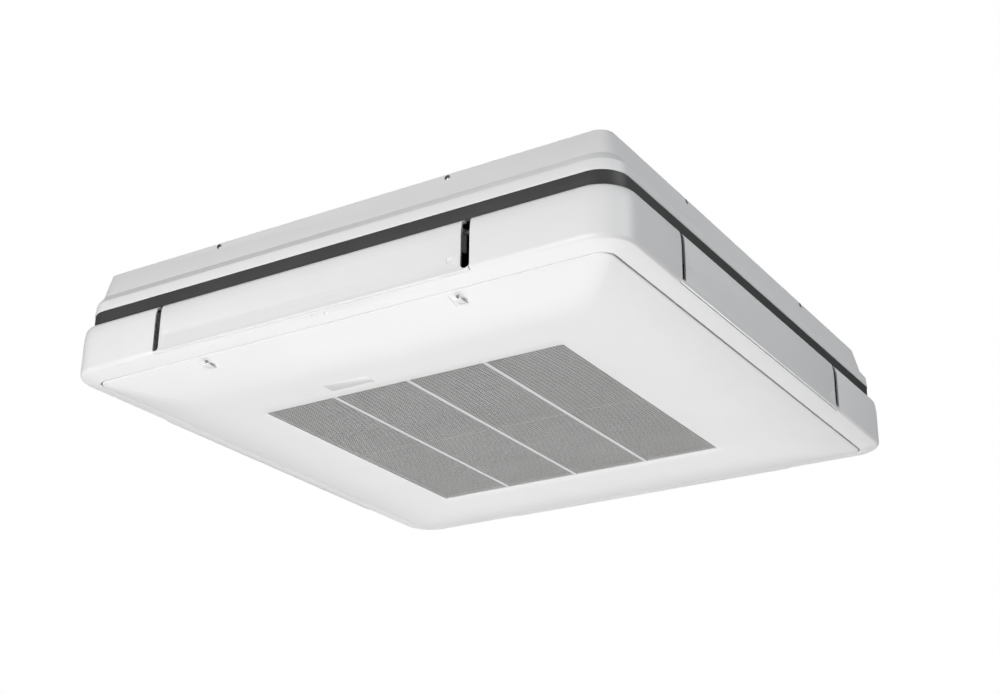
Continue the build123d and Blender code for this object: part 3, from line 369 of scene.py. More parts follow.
def spread(tree, value, low, high, start=0.3, end=0.7):
    """A value from start to end, spread to low to high."""
    node = tree.nodes.new("ShaderNodeMapRange")
    node.inputs["From Min"].default_value = start
    node.inputs["From Max"].default_value = end
    node.inputs["To Min"].default_value = low
    node.inputs["To Max"].default_value = high
    tree.links.new(value, node.inputs["Value"])
    return node.outputs["Result"]


# Noise given as scale, detail and roughness; the grain's height is in metres.
CLOUD = (7.0, 4.0, 0.6)
DUST_PATCHES = (38.0, 5.0, 0.65)
GRAIN_HEIGHT = 0.0002


def build_grain(tree, entry, leave):
    """Fine moulded or rolled grain: a normal, and a broad cloudy mask from 0 to 1."""
    fine = tree.nodes.new("ShaderNodeTexNoise")
    fine.inputs["Detail"].default_value = 3.0
    tree.links.new(entry.outputs["Vector"], fine.inputs["Vector"])
    tree.links.new(entry.outputs["Scale"], fine.inputs["Scale"])
    bump = tree.nodes.new("ShaderNodeBump")
    bump.inputs["Distance"].default_value = GRAIN_HEIGHT
    tree.links.new(entry.outputs["Strength"], bump.inputs["Strength"])
    tree.links.new(fine.outputs["Fac"], bump.inputs["Height"])
    cloud = noise(tree, entry.outputs["Vector"], *CLOUD)
    tree.links.new(bump.outputs["Normal"], leave.inputs["Normal"])
    tree.links.new(spread(tree, cloud.outputs["Fac"], 0.0, 1.0), leave.inputs["Cloud"])
    tree.links.new(spread(tree, fine.outputs["Fac"], 0.0, 1.0), leave.inputs["Grain"])


GRAIN = shader_group(
    "Surface grain",
    [
        ("Vector", "NodeSocketVector", None), ("Scale", "NodeSocketFloat", 900.0),
        ("Strength", "NodeSocketFloat", 0.1),
    ],
    [("Normal", "NodeSocketVector"), ("Cloud", "NodeSocketFloat"), ("Grain", "NodeSocketFloat")],
    build_grain,
)


def build_dust(tree, entry, leave):
    """A mask of faint dust that lies on upward faces, in broken patches."""
    geometry = tree.nodes.new("ShaderNodeNewGeometry")
    parts = tree.nodes.new("ShaderNodeSeparateXYZ")
    tree.links.new(geometry.outputs["Normal"], parts.inputs["Vector"])
    up = spread(tree, parts.outputs["Z"], 0.0, 1.0, 0.35, 0.95)
    patches = noise(tree, entry.outputs["Vector"], *DUST_PATCHES)
    both = tree.nodes.new("ShaderNodeMath")
    both.operation = "MULTIPLY"
    tree.links.new(up, both.inputs[0])
    tree.links.new(spread(tree, patches.outputs["Fac"], 0.25, 1.0, 0.35, 0.65), both.inputs[1])
    tree.links.new(both.outputs["Value"], leave.inputs["Dust"])


DUST = shader_group(
    "Settled dust", [("Vector", "NodeSocketVector", None)], [("Dust", "NodeSocketFloat")], build_dust,
)
DUST_COLOUR = (0.46, 0.44, 0.41, 1.0)


def mixed(tree, share, a, b):
    """Colour a where the share is 0 and b where it is 1; each is a colour or a socket."""
    node = tree.nodes.new("ShaderNodeMix")
    node.data_type = "RGBA"
    for socket, value in ((node.inputs[6], a), (node.inputs[7], b)):
        if isinstance(value, tuple):
            socket.default_value = value
        else:
            tree.links.new(value, socket)
    tree.links.new(share, node.inputs[0])
    return node.outputs[2]


def grey(value, warm=0.0):
    """A grey, as much warmer than neutral as asked."""
    return (value + warm, value, value - warm, 1.0)


SPECK_EDGE = (0.6, 0.66)


def material(name, dark, light, rough, metallic=0.0, grain=900.0, depth=0.1, dust=0.12, coat=0.0, specks=None):
    """A surface with two close colours in clouds, a fine grain, uneven gloss and a little dust.

    rough gives the ends of the roughness, grain the fine grain's scale and depth its strength;
    specks gives the scale and the colour of small spots.
    """
    mat = bpy.data.materials.new(name)
    mat.use_nodes = True
    tree = mat.node_tree
    shader = tree.nodes["Principled BSDF"]
    place = tree.nodes.new("ShaderNodeTexCoord").outputs["Object"]
    surface = tree.nodes.new("ShaderNodeGroup")
    surface.node_tree = GRAIN
    surface.inputs["Scale"].default_value = grain
    surface.inputs["Strength"].default_value = depth
    tree.links.new(place, surface.inputs["Vector"])
    colour = mixed(tree, surface.outputs["Cloud"], dark, light)
    if specks:
        spots = noise(tree, place, specks[0], 2.0)
        mask = spread(tree, spots.outputs["Fac"], 0.0, 1.0, *SPECK_EDGE)
        colour = mixed(tree, mask, colour, specks[1])
    settled = tree.nodes.new("ShaderNodeGroup")
    settled.node_tree = DUST
    tree.links.new(place, settled.inputs["Vector"])
    share = tree.nodes.new("ShaderNodeMath")
    share.operation = "MULTIPLY"
    share.inputs[1].default_value = dust
    tree.links.new(settled.outputs["Dust"], share.inputs[0])
    colour = mixed(tree, share.outputs["Value"], colour, DUST_COLOUR)
    tree.links.new(colour, shader.inputs["Base Color"])
    gloss = spread(tree, surface.outputs["Grain"], rough[0], rough[1], 0.0, 1.0)
    tree.links.new(gloss, shader.inputs["Roughness"])
    tree.links.new(surface.outputs["Normal"], shader.inputs["Normal"])
    shader.inputs["Metallic"].default_value = metallic
    shader.inputs["Coat Weight"].default_value = coat
    return mat


MATERIALS = {
    "white_shell": material(
        "white moulded shell", grey(0.845, 0.002), grey(0.865, 0.003), (0.40, 0.50), grain=1400.0, depth=0.05,
    ),
    "white_knob": material(
        "white knob plastic", grey(0.80, 0.002), grey(0.83, 0.002), (0.35, 0.45), grain=1600.0, depth=0.06,
    ),
    "badge_plastic": material(
        "bare name plate", grey(0.84), grey(0.85), (0.30, 0.36), grain=1500.0, depth=0.01,
    ),
    "grille_plastic": material(
        "grille plastic", grey(0.53, 0.004), grey(0.57, 0.004), (0.45, 0.58), grain=1600.0, depth=0.08,
    ),
    "filter_plastic": material(
        "filter frame plastic", grey(0.10), grey(0.13), (0.45, 0.60), grain=1200.0, depth=0.12,
    ),
    "filter_cloth": material(
        "filter net threads", grey(0.050), grey(0.075), (0.60, 0.80), grain=2600.0, depth=0.3,
    ),
    "dark_band": material(
        "dark band plastic", grey(0.042), grey(0.055), (0.50, 0.62), grain=1300.0, depth=0.15,
    ),
    # The dark foam's grey is set far lighter than the foam itself: painted light, standing in for light that
    # reaches the shaded space behind the flaps' notches.
    "duct_foam": material(
        "dark foam lining lightened as painted light", grey(0.36), grey(0.41), (0.75, 0.92), grain=600.0, depth=0.8,
        specks=(420.0, grey(0.012)),
    ),
    "insulation_foam": material(
        "pale foam", grey(0.62, 0.006), grey(0.72, 0.006), (0.80, 0.95), grain=420.0, depth=0.9,
        specks=(300.0, grey(0.50)),
    ),
    "galvanised": material(
        "galvanised sheet", grey(0.50), grey(0.58), (0.32, 0.48), 0.6, grain=60.0, depth=0.05,
        specks=(60.0, grey(0.62)),
    ),
    "screw_steel": material(
        "plated screw steel", grey(0.50), grey(0.58), (0.24, 0.36), 1.0, grain=900.0, depth=0.08,
    ),
    "nylon": material(
        "natural nylon", grey(0.70, 0.03), grey(0.76, 0.03), (0.38, 0.50), grain=1100.0, depth=0.08,
    ),
    "motor_case": material(
        "dark painted motor case", grey(0.045), grey(0.060), (0.32, 0.46), grain=700.0, depth=0.3,
    ),
    "rubber_mount": material("black rubber", grey(0.016), grey(0.026), (0.65, 0.80), grain=900.0, depth=0.25),
    "fan_plastic": material(
        "dark fan plastic", grey(0.030), grey(0.042), (0.38, 0.52), grain=1000.0, depth=0.12,
    ),
    "inlet_plastic": material(
        "grey inlet plastic", grey(0.085), grey(0.105), (0.42, 0.55), grain=1000.0, depth=0.12,
    ),
    "pan_plastic": material(
        "dark drain pan", grey(0.030), grey(0.045), (0.60, 0.78), grain=500.0, depth=0.5,
        specks=(340.0, grey(0.020)),
    ),
    "fin_metal": material(
        "thin aluminium fins", grey(0.62), grey(0.72), (0.26, 0.40), 1.0, grain=500.0, depth=0.1,
    ),
    "copper": material(
        "drawn copper", (0.60, 0.26, 0.14, 1.0),
        (0.72, 0.36, 0.21, 1.0), (0.22, 0.42), 1.0, grain=300.0, depth=0.08,
        specks=(60.0, (0.36, 0.14, 0.08, 1.0)),
    ),
    "union_brass": material(
        "turned brass", (0.66, 0.46, 0.18, 1.0), (0.78, 0.57, 0.26, 1.0), (0.20, 0.34), 1.0,
        grain=700.0, depth=0.06,
    ),
    "pump_plastic": material(
        "pump case plastic", grey(0.74, 0.008), grey(0.79, 0.008), (0.38, 0.50), grain=1000.0, depth=0.1,
    ),
    "drain_plastic": material(
        "drain socket plastic", grey(0.76), grey(0.81), (0.34, 0.46), grain=1200.0, depth=0.08,
    ),
    "board_green": material(
        "lacquered circuit board", (0.010, 0.085, 0.030, 1.0),
        (0.015, 0.12, 0.045, 1.0), (0.20, 0.34), grain=300.0, depth=0.1, coat=0.4,
        specks=(240.0, (0.50, 0.36, 0.14, 1.0)),
    ),
    "terminal_plastic": material(
        "terminal plastic", grey(0.72, 0.03), grey(0.77, 0.03), (0.42, 0.54), grain=1100.0, depth=0.1,
    ),
    "gland_plastic": material(
        "black gland nylon", grey(0.020), grey(0.030), (0.38, 0.50), grain=1100.0, depth=0.12,
    ),
    "sensor_steel": material(
        "tinned sensor bulb", grey(0.52), grey(0.62), (0.22, 0.36), 1.0, grain=700.0, depth=0.1,
    ),
}

# Every CAD piece takes its slot's material; those below that have a finer shape are replaced.
for part in frame["record"]["subparts"]:
    node = frame["nodes"][part["node"]]
    node.data.materials.clear()
    node.data.materials.append(MATERIALS[part["material_slot"]])


# Upper casing, with its screws' seats, the pipes' holes at the back and the cable's at the left.
CASING_SKIN = 2.5
SCREW_OFFSETS = (-213.0, 196.0)
SCREW_LEVEL = CASING_TOP - 5.6
SEAT_DROP = 1.6
SCREW_SEAT = SKIRT_TOP_HALF + (SKIRT_LOW_HALF - SKIRT_TOP_HALF) * SEAT_DROP / -SKIRT_LOW - 0.2
SEAT_RADIUS = 4.4
SCREW_HOLE, SCREW_HOLE_DEPTH = 2.1, 12.0
PIPE_LEVEL = -32.0
PIPE_HOLES = ((-285.0, 14.11, 40), (-325.0, 10.94, 32), (350.0, 13.3, 40))
CABLE_HOLE = (-312.0, 12.3, 36)
THROUGH_SKIRT = (430.0, 470.0)


def casing_shape(bm):
    outside = [
        (SKIRT_TOP_HALF, CASING_TOP, 0.8), (SKIRT_LOW_HALF, SKIRT_LOW, 3.0),
        (FLARE_HALF, FLARE_LOW, 3.0), (LIP_HALF, LIP_LOW, 0.9),
    ]
    radii = (0.8, 2.0, 2.0, 0.7)
    inside = [(half - CASING_SKIN, level, radius) for (half, level, _), radius in zip(outside, radii)]
    add_swept(bm, rounded(outside + inside[::-1], 4))


def screw_seats(bm):
    seat = -SCREW_SEAT
    for offset in SCREW_OFFSETS:
        add_rod(bm, along_y, SEAT_RADIUS, seat - 20.0, seat, offset, SCREW_LEVEL)
        add_rod(bm, along_y, SCREW_HOLE, seat - 1.0, seat + SCREW_HOLE_DEPTH, offset, SCREW_LEVEL, 16)


def casing_cuts(bm):
    for side in ALL_SIDES:
        add_turned(bm, screw_seats, side)
    start, end = THROUGH_SKIRT
    for offset, radius, steps in PIPE_HOLES:
        add_rod(bm, along_y, radius, start, end, offset, PIPE_LEVEL, steps)
    offset, radius, steps = CABLE_HOLE
    add_rod(bm, along_x, radius, -end, -start, offset, PIPE_LEVEL, steps)


casing = cut(made("upper casing", casing_shape), made("casing holes", casing_cuts))
fitted(shaded(casing, 40.0), "unit", ["upper_casing"], "white_shell")


# Casing screws: a domed head with a cross, on a plain shank.
HEAD_STEPS = 24
HEAD_DOME = ((4.0, 0.0), (4.0, 0.7), (3.6, 1.25), (2.7, 1.6), (1.5, 1.78))
SHANK_RADIUS = 1.95
SHANK_LENGTH = 11.9
CROSS_REACH = 2.1
CROSS_HALF = 0.45
CROSS_FLOOR = 0.8


def screw_shapes(bm):
    low = -SCREW_SEAT
    for offset in SCREW_OFFSETS:
        loops = []
        for radius, rise in HEAD_DOME:
            loops.append([(u, low - rise, v) for u, v in circle(offset, SCREW_LEVEL, radius, HEAD_STEPS)])
        add_loops(bm, loops, closed=False)
        add_rod(bm, along_y, SHANK_RADIUS, low - 0.1, low + SHANK_LENGTH, offset, SCREW_LEVEL, 12)


def screw_crosses(bm):
    depth = (-SCREW_SEAT - 3.0, -SCREW_SEAT - CROSS_FLOOR)
    for offset in SCREW_OFFSETS:
        for across, high in ((CROSS_REACH, CROSS_HALF), (CROSS_HALF, CROSS_REACH)):
            add_box(bm, about(offset, across), depth, about(SCREW_LEVEL, high))


screws = cut(made("casing screws", screw_shapes, ALL_SIDES), made("screw crosses", screw_crosses, ALL_SIDES))
fitted(shaded(screws, 30.0), "unit", ["casing_screws"], "screw_steel")


# Dark band between the upper casing and the lower frame.
BAND_HALF = 462.4
BAND_INSIDE = 440.4
BAND_SKIN = 3.0
BAND_TOP = LIP_LOW - 0.02
BAND_LEDGE = LIP_LOW - 2.5
BAND_LOW = WALL_TOP + 3.8


def band_shape(bm):
    inner = BAND_HALF - BAND_SKIN
    add_swept(bm, rounded([
        (BAND_HALF, BAND_TOP, 0.0), (BAND_HALF, BAND_LOW, 0.6), (inner, BAND_LOW, 0.6),
        (inner, BAND_LEDGE, 0.8), (BAND_INSIDE, BAND_LEDGE, 0.3), (BAND_INSIDE, BAND_TOP, 0.3),
    ], 3))


fitted(shaded(made("dark band", band_shape), 40.0), "unit", ["band_ring"], "dark_band")


# Lower frame: corner walls with a shoulder, the sloping rim, the shelf behind it and its plates.
RIM_INSIDE = RIM_LOW + 3.1
CHANNEL_HALF = 460.0
CLEAR = 5.0
OUTLET_DEPTH = 440.5
RIM_CUT_HALF = 470.5
PLATE_START, PLATE_END = 257.0, 300.7
PLATE_INSIDE, PLATE_OUTSIDE = 337.0, 471.9
PLATE_CENTRE = WALL_HALF - WALL_RADIUS
PLATE_RADIUS = 49.9
PLATE_THICK = 2.0
EAR_REACH, EAR_SPAN = 5.0, (435.0, 444.0)
EAR_LOW, EAR_TOP = RIM_LOW - 0.5, RIM_LOW + 3.5
DIMPLES = (-9.0, 13.0)
DIMPLE_HALF, DIMPLE_RADIUS = 464.0, 3.4
DIMPLE_TOP = WALL_LOW - 1.7


def frame_shape(bm):
    add_swept(bm, rounded([
        (LEDGE_HALF, SHOULDER_TOP, 0.5), *shoulder(), (WALL_HALF, WALL_LOW, 7.0),
        (RIM_HALF, RIM_LOW, 1.2), (RIM_HALF, RIM_INSIDE, 0.0), (CHANNEL_HALF, SHELF_LOW, 0.0),
        (RIM_HALF, SHELF_LOW, 0.0), (RIM_HALF, SHELF_TOP, 0.0), (WALL_HALF - WALL_SKIN, SHELF_TOP, 0.0),
        *reversed(shoulder(WALL_SKIN)), (LEDGE_HALF, SHOULDER_TOP - WALL_SKIN, 0.5),
    ], 8))


def outlet_cuts(bm):
    span = (OUTLET_START, OUTLET_END)
    add_box(bm, span, (-PAST_WALL, -OUTLET_DEPTH), (SHELF_TOP, WALL_TOP + CLEAR))
    add_box(bm, span, (-PAST_WALL, -RIM_CUT_HALF), (RIM_LOW - CLEAR, SHELF_TOP + 1.0))


def corner_plates(bm, steps=8):
    outline = [(PLATE_START, -PLATE_INSIDE), (PLATE_START, -PLATE_OUTSIDE)]
    for step in range(steps + 1):
        angle = math.pi / 2 * (1 - step / steps)
        x, y = PLATE_RADIUS * math.cos(angle), PLATE_RADIUS * math.sin(angle)
        outline.append((PLATE_CENTRE + x, -PLATE_CENTRE - y))
    outline += [(PLATE_OUTSIDE, -PLATE_END), (PLATE_INSIDE, -PLATE_END), (PLATE_INSIDE, -PLATE_INSIDE)]
    add_prism(bm, outline, along_z, SHELF_TOP - 0.01, SHELF_TOP + PLATE_THICK)


def hinge_ears(bm):
    for offset in HINGES:
        add_box(bm, about(offset, EAR_REACH), EAR_SPAN, (EAR_LOW, EAR_TOP))


def hinge_holes(bm):
    for offset in HINGES:
        start, end = about(offset, 2 * EAR_REACH)
        add_rod(bm, along_x, HINGE_HOLE, start, end, HINGE_HALF, HINGE_LEVEL, 16)


def rim_dimples(bm):
    """Two small dimples in the middle of the front rim."""
    for offset in DIMPLES:
        add_rod(bm, along_z, DIMPLE_RADIUS, RIM_LOW - 1.0, DIMPLE_TOP, offset, -DIMPLE_HALF, 24)


lower = cut(made("lower frame", frame_shape), made("outlet cuts", outlet_cuts, ALL_SIDES))
lower = cut(lower, made("corner plates", corner_plates, ALL_SIDES), "UNION")
lower = cut(lower, made("hinge ears", hinge_ears), "UNION")
lower = cut(lower, made("hinge holes", hinge_holes))
lower = cut(lower, made("rim dimples", rim_dimples))
fitted(softened(lower, 0.35), "unit", ["lower_frame"], "white_shell")


# Outlet flaps, one on each side: a shell with ribs, a round notch at each end, and two small
# square marks in its face.
FLAP_NECK = 462.5
FLAP_GAP = 1.0
FLAP_RIBS = (-279.0, -105.0, 68.0, 232.0)
FLAP_RIB_THICK = 3.0
FLAP_RIB_SPAN = (-472.5, -452.0)
FLAP_RIB_LEVELS = (AXIS_LEVEL - 26.0, AXIS_LEVEL + 8.0)
NOTCHES = ((OUTLET_START, 1, 10.7), (OUTLET_END, -1, 14.0))
NOTCH_FLOOR = FLAP_LOW + 3.6
NOTCH_DEPTH = 457.5
NOTCH_STEPS = 16
SHAFT_HOLE = 3.05
FLAP_MARKS = ((-274.0, -146.0), (223.0, -152.0))
MARK_REACH, MARK_DEPTH = 4.0, 0.35


def flap_shape(bm):
    profile = rounded([
        (WALL_HALF, FLAP_LOW, 2.4), *reversed(shoulder()), (FLAP_NECK, SHOULDER_TOP, 0.0),
        (FLAP_NECK, SHOULDER_TOP - WALL_SKIN, 0.0), *shoulder(WALL_SKIN),
        (WALL_HALF - WALL_SKIN, FLAP_LOW, 0.3),
    ], 8)
    add_prism(bm, profile, along_front, OUTLET_START + FLAP_GAP, OUTLET_END - FLAP_GAP)


def flap_ribs(bm):
    for start in FLAP_RIBS:
        add_box(bm, (start, start + FLAP_RIB_THICK), FLAP_RIB_SPAN, FLAP_RIB_LEVELS)


def flap_cuts(bm):
    for edge, inward, width in NOTCHES:
        radius = width / 2
        middle, floor = edge + inward * radius, NOTCH_FLOOR + radius
        outline = [(edge - inward * 2.0, WALL_TOP + CLEAR), (edge - inward * 2.0, floor), (edge, floor)]
        for step in range(1, NOTCH_STEPS + 1):
            angle = math.pi + math.pi * step / NOTCH_STEPS if inward > 0 else -math.pi * step / NOTCH_STEPS
            outline.append((middle + radius * math.cos(angle), floor + radius * math.sin(angle)))
        outline.append((edge + inward * width, WALL_TOP + CLEAR))
        add_prism(bm, outline, along_y, -PAST_WALL, -NOTCH_DEPTH)
    start, end = OUTLET_START - CLEAR, OUTLET_END + CLEAR
    add_rod(bm, along_x, SHAFT_HOLE, start, end, -AXIS_HALF, AXIS_LEVEL, 20)
    for offset, level in FLAP_MARKS:
        depth = (-PAST_WALL, -WALL_HALF + MARK_DEPTH)
        add_box(bm, about(offset, MARK_REACH), depth, about(level, MARK_REACH))


for side, label in enumerate(SIDES):
    flap = cut(made("flap " + label, flap_shape, (side,)), made("flap ribs", flap_ribs, (side,)), "UNION")
    flap = cut(flap, made("flap cuts", flap_cuts, (side,)))
    fitted(softened(flap, 0.35), "flap_body_" + label, ["flap_" + label], "white_shell")


# Suction panel: a thin shell with a curved underside, a housing for each latch's bolt, and
# knuckles for the hinges.
CURVE_STEPS = 24
FLAT_RADIUS, PANEL_RADIUS = 25.0, 19.0
OPENING_RADIUS = 4.0
PANEL_SKIN = 2.5
EDGE_INSIDE = ((2.5, 0.5), (2.0, 0.0), (0.5, 0.0), (0.0, 0.5))
EDGE_OUTSIDE = ((0.0, 0.9), (0.15, 0.3), (0.55, -0.2), (1.3, -0.55))
OPENING_EDGE = ((0.9, 0.0), (0.45, 0.12), (0.12, 0.45))
OPENING_RISE = 0.9

# Latches: half widths, and how far each shape reaches to both sides of its latch.
KNOB_TRAVEL = 7.5
BOLT_REACH, BOLT_START, BOLT_END = 5.0, 412.0, 439.5
NECK_REACH, NECK_START, NECK_END = 3.0, 418.0, 424.0
CAP_REACH, CAP_START, CAP_END, CAP_THICK = 6.0, 416.5, 432.0, 2.3
CAP_TOP = panel_level(NECK_START) - 0.4
HOUSING_REACH, HOUSING_START, HOUSING_END, HOUSING_SKIN = 12.0, 403.0, 437.0, 1.5
POCKET_REACH, POCKET_START, POCKET_END, POCKET_DEPTH = 9.8, 417.0, 424.0, 2.0
RECESS_REACH, RECESS_START, RECESS_END, RECESS_DEPTH = 13.0, 414.0, 434.0, 0.7
PAST_EDGE = 442.0

# Hinge knuckles beside each ear, and the name plate.
KNUCKLE_START, KNUCKLE_END = 5.6, 13.6
KNUCKLE_SPAN = (434.0, 440.6)
KNUCKLE_LOW, KNUCKLE_TOP = RIM_LOW + 0.2, HINGE_LEVEL + 3.0
BADGE_X, BADGE_Y = (-119.0, -41.0), (-297.0, -273.0)
BADGE_THICK, BADGE_PLAY = 0.8, 0.2


def panel_ring(step, skin=0.0):
    """The underside's outline at a step from its flat middle to its edge, or the face above it."""
    half = FLAT_HALF + (PANEL_HALF - FLAT_HALF) * step / CURVE_STEPS
    radius = FLAT_RADIUS - (FLAT_RADIUS - PANEL_RADIUS) * step / CURVE_STEPS
    return ring(half - skin, half - skin, radius - skin, panel_level(half) + skin, CORNER_STEPS)


def edge_ring(inset, level):
    half = PANEL_HALF - inset
    return ring(half, half, PANEL_RADIUS - inset, level, CORNER_STEPS)


def opening_ring(out, radius, level):
    return ring(OPENING_X + out, OPENING_Y + out, radius, level, CORNER_STEPS)


def panel_shape(bm):
    rings = [opening_ring(0.0, OPENING_RADIUS, PANEL_LOW + rise) for rise in (OPENING_RISE, PANEL_SKIN)]
    rings += [panel_ring(step, PANEL_SKIN) for step in range(CURVE_STEPS)]
    rings += [edge_ring(inset, EDGE_TOP - drop) for inset, drop in EDGE_INSIDE]
    rings += [edge_ring(inset, RIM_LOW + rise) for inset, rise in EDGE_OUTSIDE]
    rings += [panel_ring(step) for step in reversed(range(CURVE_STEPS))]
    rings.append(opening_ring(20.0, 22.0, PANEL_LOW))
    rings += [opening_ring(out, OPENING_RADIUS + out, PANEL_LOW + rise) for out, rise in OPENING_EDGE]
    add_loops(bm, rings)


def under_outline(start, end, steps, rise, top):
    """A section above the underside from one half width to another, closed at a level."""
    halves = [start + (end - start) * step / steps for step in range(steps + 1)]
    return [(half, panel_level(half) + rise) for half in halves] + [(end, top), (start, top)]


def latch_housings(bm):
    roof = BOLT_LEVEL + BOLT_THICK + 0.05 + HOUSING_SKIN
    outline = under_outline(HOUSING_START, HOUSING_END, 8, PANEL_SKIN / 2, roof)
    for offset in LATCHES:
        add_prism(bm, outline, along_front, *about(offset, HOUSING_REACH))


def latch_cuts(bm):
    """A slot for each bolt, one for the neck under it, and a pocket at both sides of the cap."""
    bolt_span = (-PAST_EDGE, 0.3 - BOLT_START)
    bolt_levels = (BOLT_LEVEL - 0.1, BOLT_LEVEL + BOLT_THICK + 0.1)
    neck_span = (-NECK_END - KNOB_TRAVEL - 0.2, 0.2 - NECK_START)
    pocket_top = panel_level(POCKET_START) + POCKET_DEPTH
    for offset in LATCHES:
        add_box(bm, about(offset, BOLT_REACH + 0.15), bolt_span, bolt_levels)
        add_box(bm, about(offset, NECK_REACH + 0.2), neck_span, (PANEL_LOW, BOLT_LEVEL + 0.5))
        add_box(bm, about(offset, POCKET_REACH), (-POCKET_END, -POCKET_START), (PANEL_LOW, pocket_top))


def knob_recesses(bm):
    outline = under_outline(RECESS_START, RECESS_END, 6, RECESS_DEPTH, PANEL_LOW)
    for offset in LATCHES:
        add_prism(bm, outline, along_front, *about(offset, RECESS_REACH))


def knuckles(bm):
    for offset in HINGES:
        for sign in (-1, 1):
            x = sorted((offset + sign * KNUCKLE_START, offset + sign * KNUCKLE_END))
            add_box(bm, x, KNUCKLE_SPAN, (KNUCKLE_LOW, KNUCKLE_TOP))


def knuckle_cuts(bm):
    start, end = KNUCKLE_START - 0.6, KNUCKLE_END + 1.0
    for offset in HINGES:
        add_box(bm, about(offset, KNUCKLE_START), (KNUCKLE_SPAN[0], PAST_EDGE), (PANEL_LOW, EDGE_TOP + CLEAR))
        add_rod(bm, along_x, HINGE_HOLE, offset - end, offset - start, HINGE_HALF, HINGE_LEVEL, 16)
        add_rod(bm, along_x, HINGE_HOLE, offset + start, offset + end, HINGE_HALF, HINGE_LEVEL, 16)


def badge_recess(bm):
    x, y = ((low - BADGE_PLAY, high + BADGE_PLAY) for low, high in (BADGE_X, BADGE_Y))
    add_box(bm, x, y, (PANEL_LOW - 1.0, PANEL_LOW + BADGE_THICK))


panel = cut(made("suction panel", panel_shape), made("latch housings", latch_housings), "UNION")
panel = cut(panel, made("knuckles", knuckles), "UNION")
panel = cut(panel, made("latch cuts", latch_cuts))
panel = cut(panel, made("knob recesses", knob_recesses))
panel = cut(panel, made("knuckle cuts", knuckle_cuts))
panel = cut(panel, made("badge recess", badge_recess))
fitted(shaded(panel, 28.0), "panel", ["suction_panel"], "white_shell")


# Bare name plate.
def badge_shape(bm):
    (left, right), (front, back) = BADGE_X, BADGE_Y
    corners = ((left, front), (right, front), (right, back), (left, back))
    outline = rounded([(x, y, 1.6) for x, y in corners])
    add_prism(bm, outline, along_z, PANEL_LOW, PANEL_LOW + BADGE_THICK)


fitted(softened(made("badge plate", badge_shape), 0.25), "panel", ["badge_plate"], "badge_plastic")


# Latch knobs: a bolt inside the panel, a neck, and a cap in the recess under it.
def knob_shape(offset):
    def build(bm):
        bolt_levels = (BOLT_LEVEL, BOLT_LEVEL + BOLT_THICK)
        add_box(bm, about(offset, BOLT_REACH), (-BOLT_END, -BOLT_START), bolt_levels)
        add_box(bm, about(offset, NECK_REACH), (-NECK_END, -NECK_START), (CAP_TOP - 1.0, BOLT_LEVEL + 0.5))
        add_box(bm, about(offset, CAP_REACH), (-CAP_END, -CAP_START), (CAP_TOP - CAP_THICK, CAP_TOP))
    return build


for side, offset in zip(("left", "right"), LATCHES):
    knob = made("latch knob " + side, knob_shape(offset))
    fitted(softened(knob, 0.5, 3), "knob_" + side, ["latch_knob_" + side], "white_knob")


# Repeats: copies of a bar along a path, as one plain mesh.
def copies_tree():
    tree = bpy.data.node_groups.new("Bars along a path", "GeometryNodeTree")
    face = tree.interface
    face.new_socket("Path", in_out="INPUT", socket_type="NodeSocketGeometry")
    spacing = face.new_socket("Spacing", in_out="INPUT", socket_type="NodeSocketFloat")
    size = face.new_socket("Bar size", in_out="INPUT", socket_type="NodeSocketVector")
    paint = face.new_socket("Surface", in_out="INPUT", socket_type="NodeSocketMaterial")
    face.new_socket("Bars", in_out="OUTPUT", socket_type="NodeSocketGeometry")
    entry = tree.nodes.new("NodeGroupInput")
    leave = tree.nodes.new("NodeGroupOutput")
    curve = tree.nodes.new("GeometryNodeMeshToCurve")
    points = tree.nodes.new("GeometryNodeCurveToPoints")
    points.mode = "LENGTH"
    bar = tree.nodes.new("GeometryNodeMeshCube")
    turn = tree.nodes.new("FunctionNodeAlignRotationToVector")
    turn.axis = "Y"
    turn.pivot_axis = "Z"
    place = tree.nodes.new("GeometryNodeInstanceOnPoints")
    real = tree.nodes.new("GeometryNodeRealizeInstances")
    dress = tree.nodes.new("GeometryNodeSetMaterial")
    link = tree.links.new
    link(entry.outputs["Path"], curve.inputs["Mesh"])
    link(curve.outputs["Curve"], points.inputs["Curve"])
    link(entry.outputs["Spacing"], points.inputs["Length"])
    link(entry.outputs["Bar size"], bar.inputs["Size"])
    link(points.outputs["Tangent"], turn.inputs["Vector"])
    link(points.outputs["Points"], place.inputs["Points"])
    link(bar.outputs["Mesh"], place.inputs["Instance"])
    link(turn.outputs["Rotation"], place.inputs["Rotation"])
    link(place.outputs["Instances"], real.inputs["Geometry"])
    link(real.outputs["Geometry"], dress.inputs["Geometry"])
    link(entry.outputs["Surface"], dress.inputs["Material"])
    link(dress.outputs["Geometry"], leave.inputs["Bars"])
    return tree, {"spacing": spacing.identifier, "size": size.identifier, "paint": paint.identifier}


COPIES, COPY_KEYS = copies_tree()


def bars(name, path, spacing, size, slot):
    """Bars of one size along a path of points, all in millimetres."""
    mesh = bpy.data.meshes.new(piece_name(name))
    edges = [(i, i + 1) for i in range(len(path) - 1)]
    mesh.from_pydata([tuple(Vector(p) * MM) for p in path], edges, [])
    obj = placed(piece_name(name), mesh)
    tool = obj.modifiers.new("bars", "NODES")
    tool.node_group = COPIES
    tool[COPY_KEYS["spacing"]] = spacing * MM
    tool[COPY_KEYS["size"]] = tuple(Vector(size) * MM)
    tool[COPY_KEYS["paint"]] = MATERIALS[slot]
    return applied(obj)


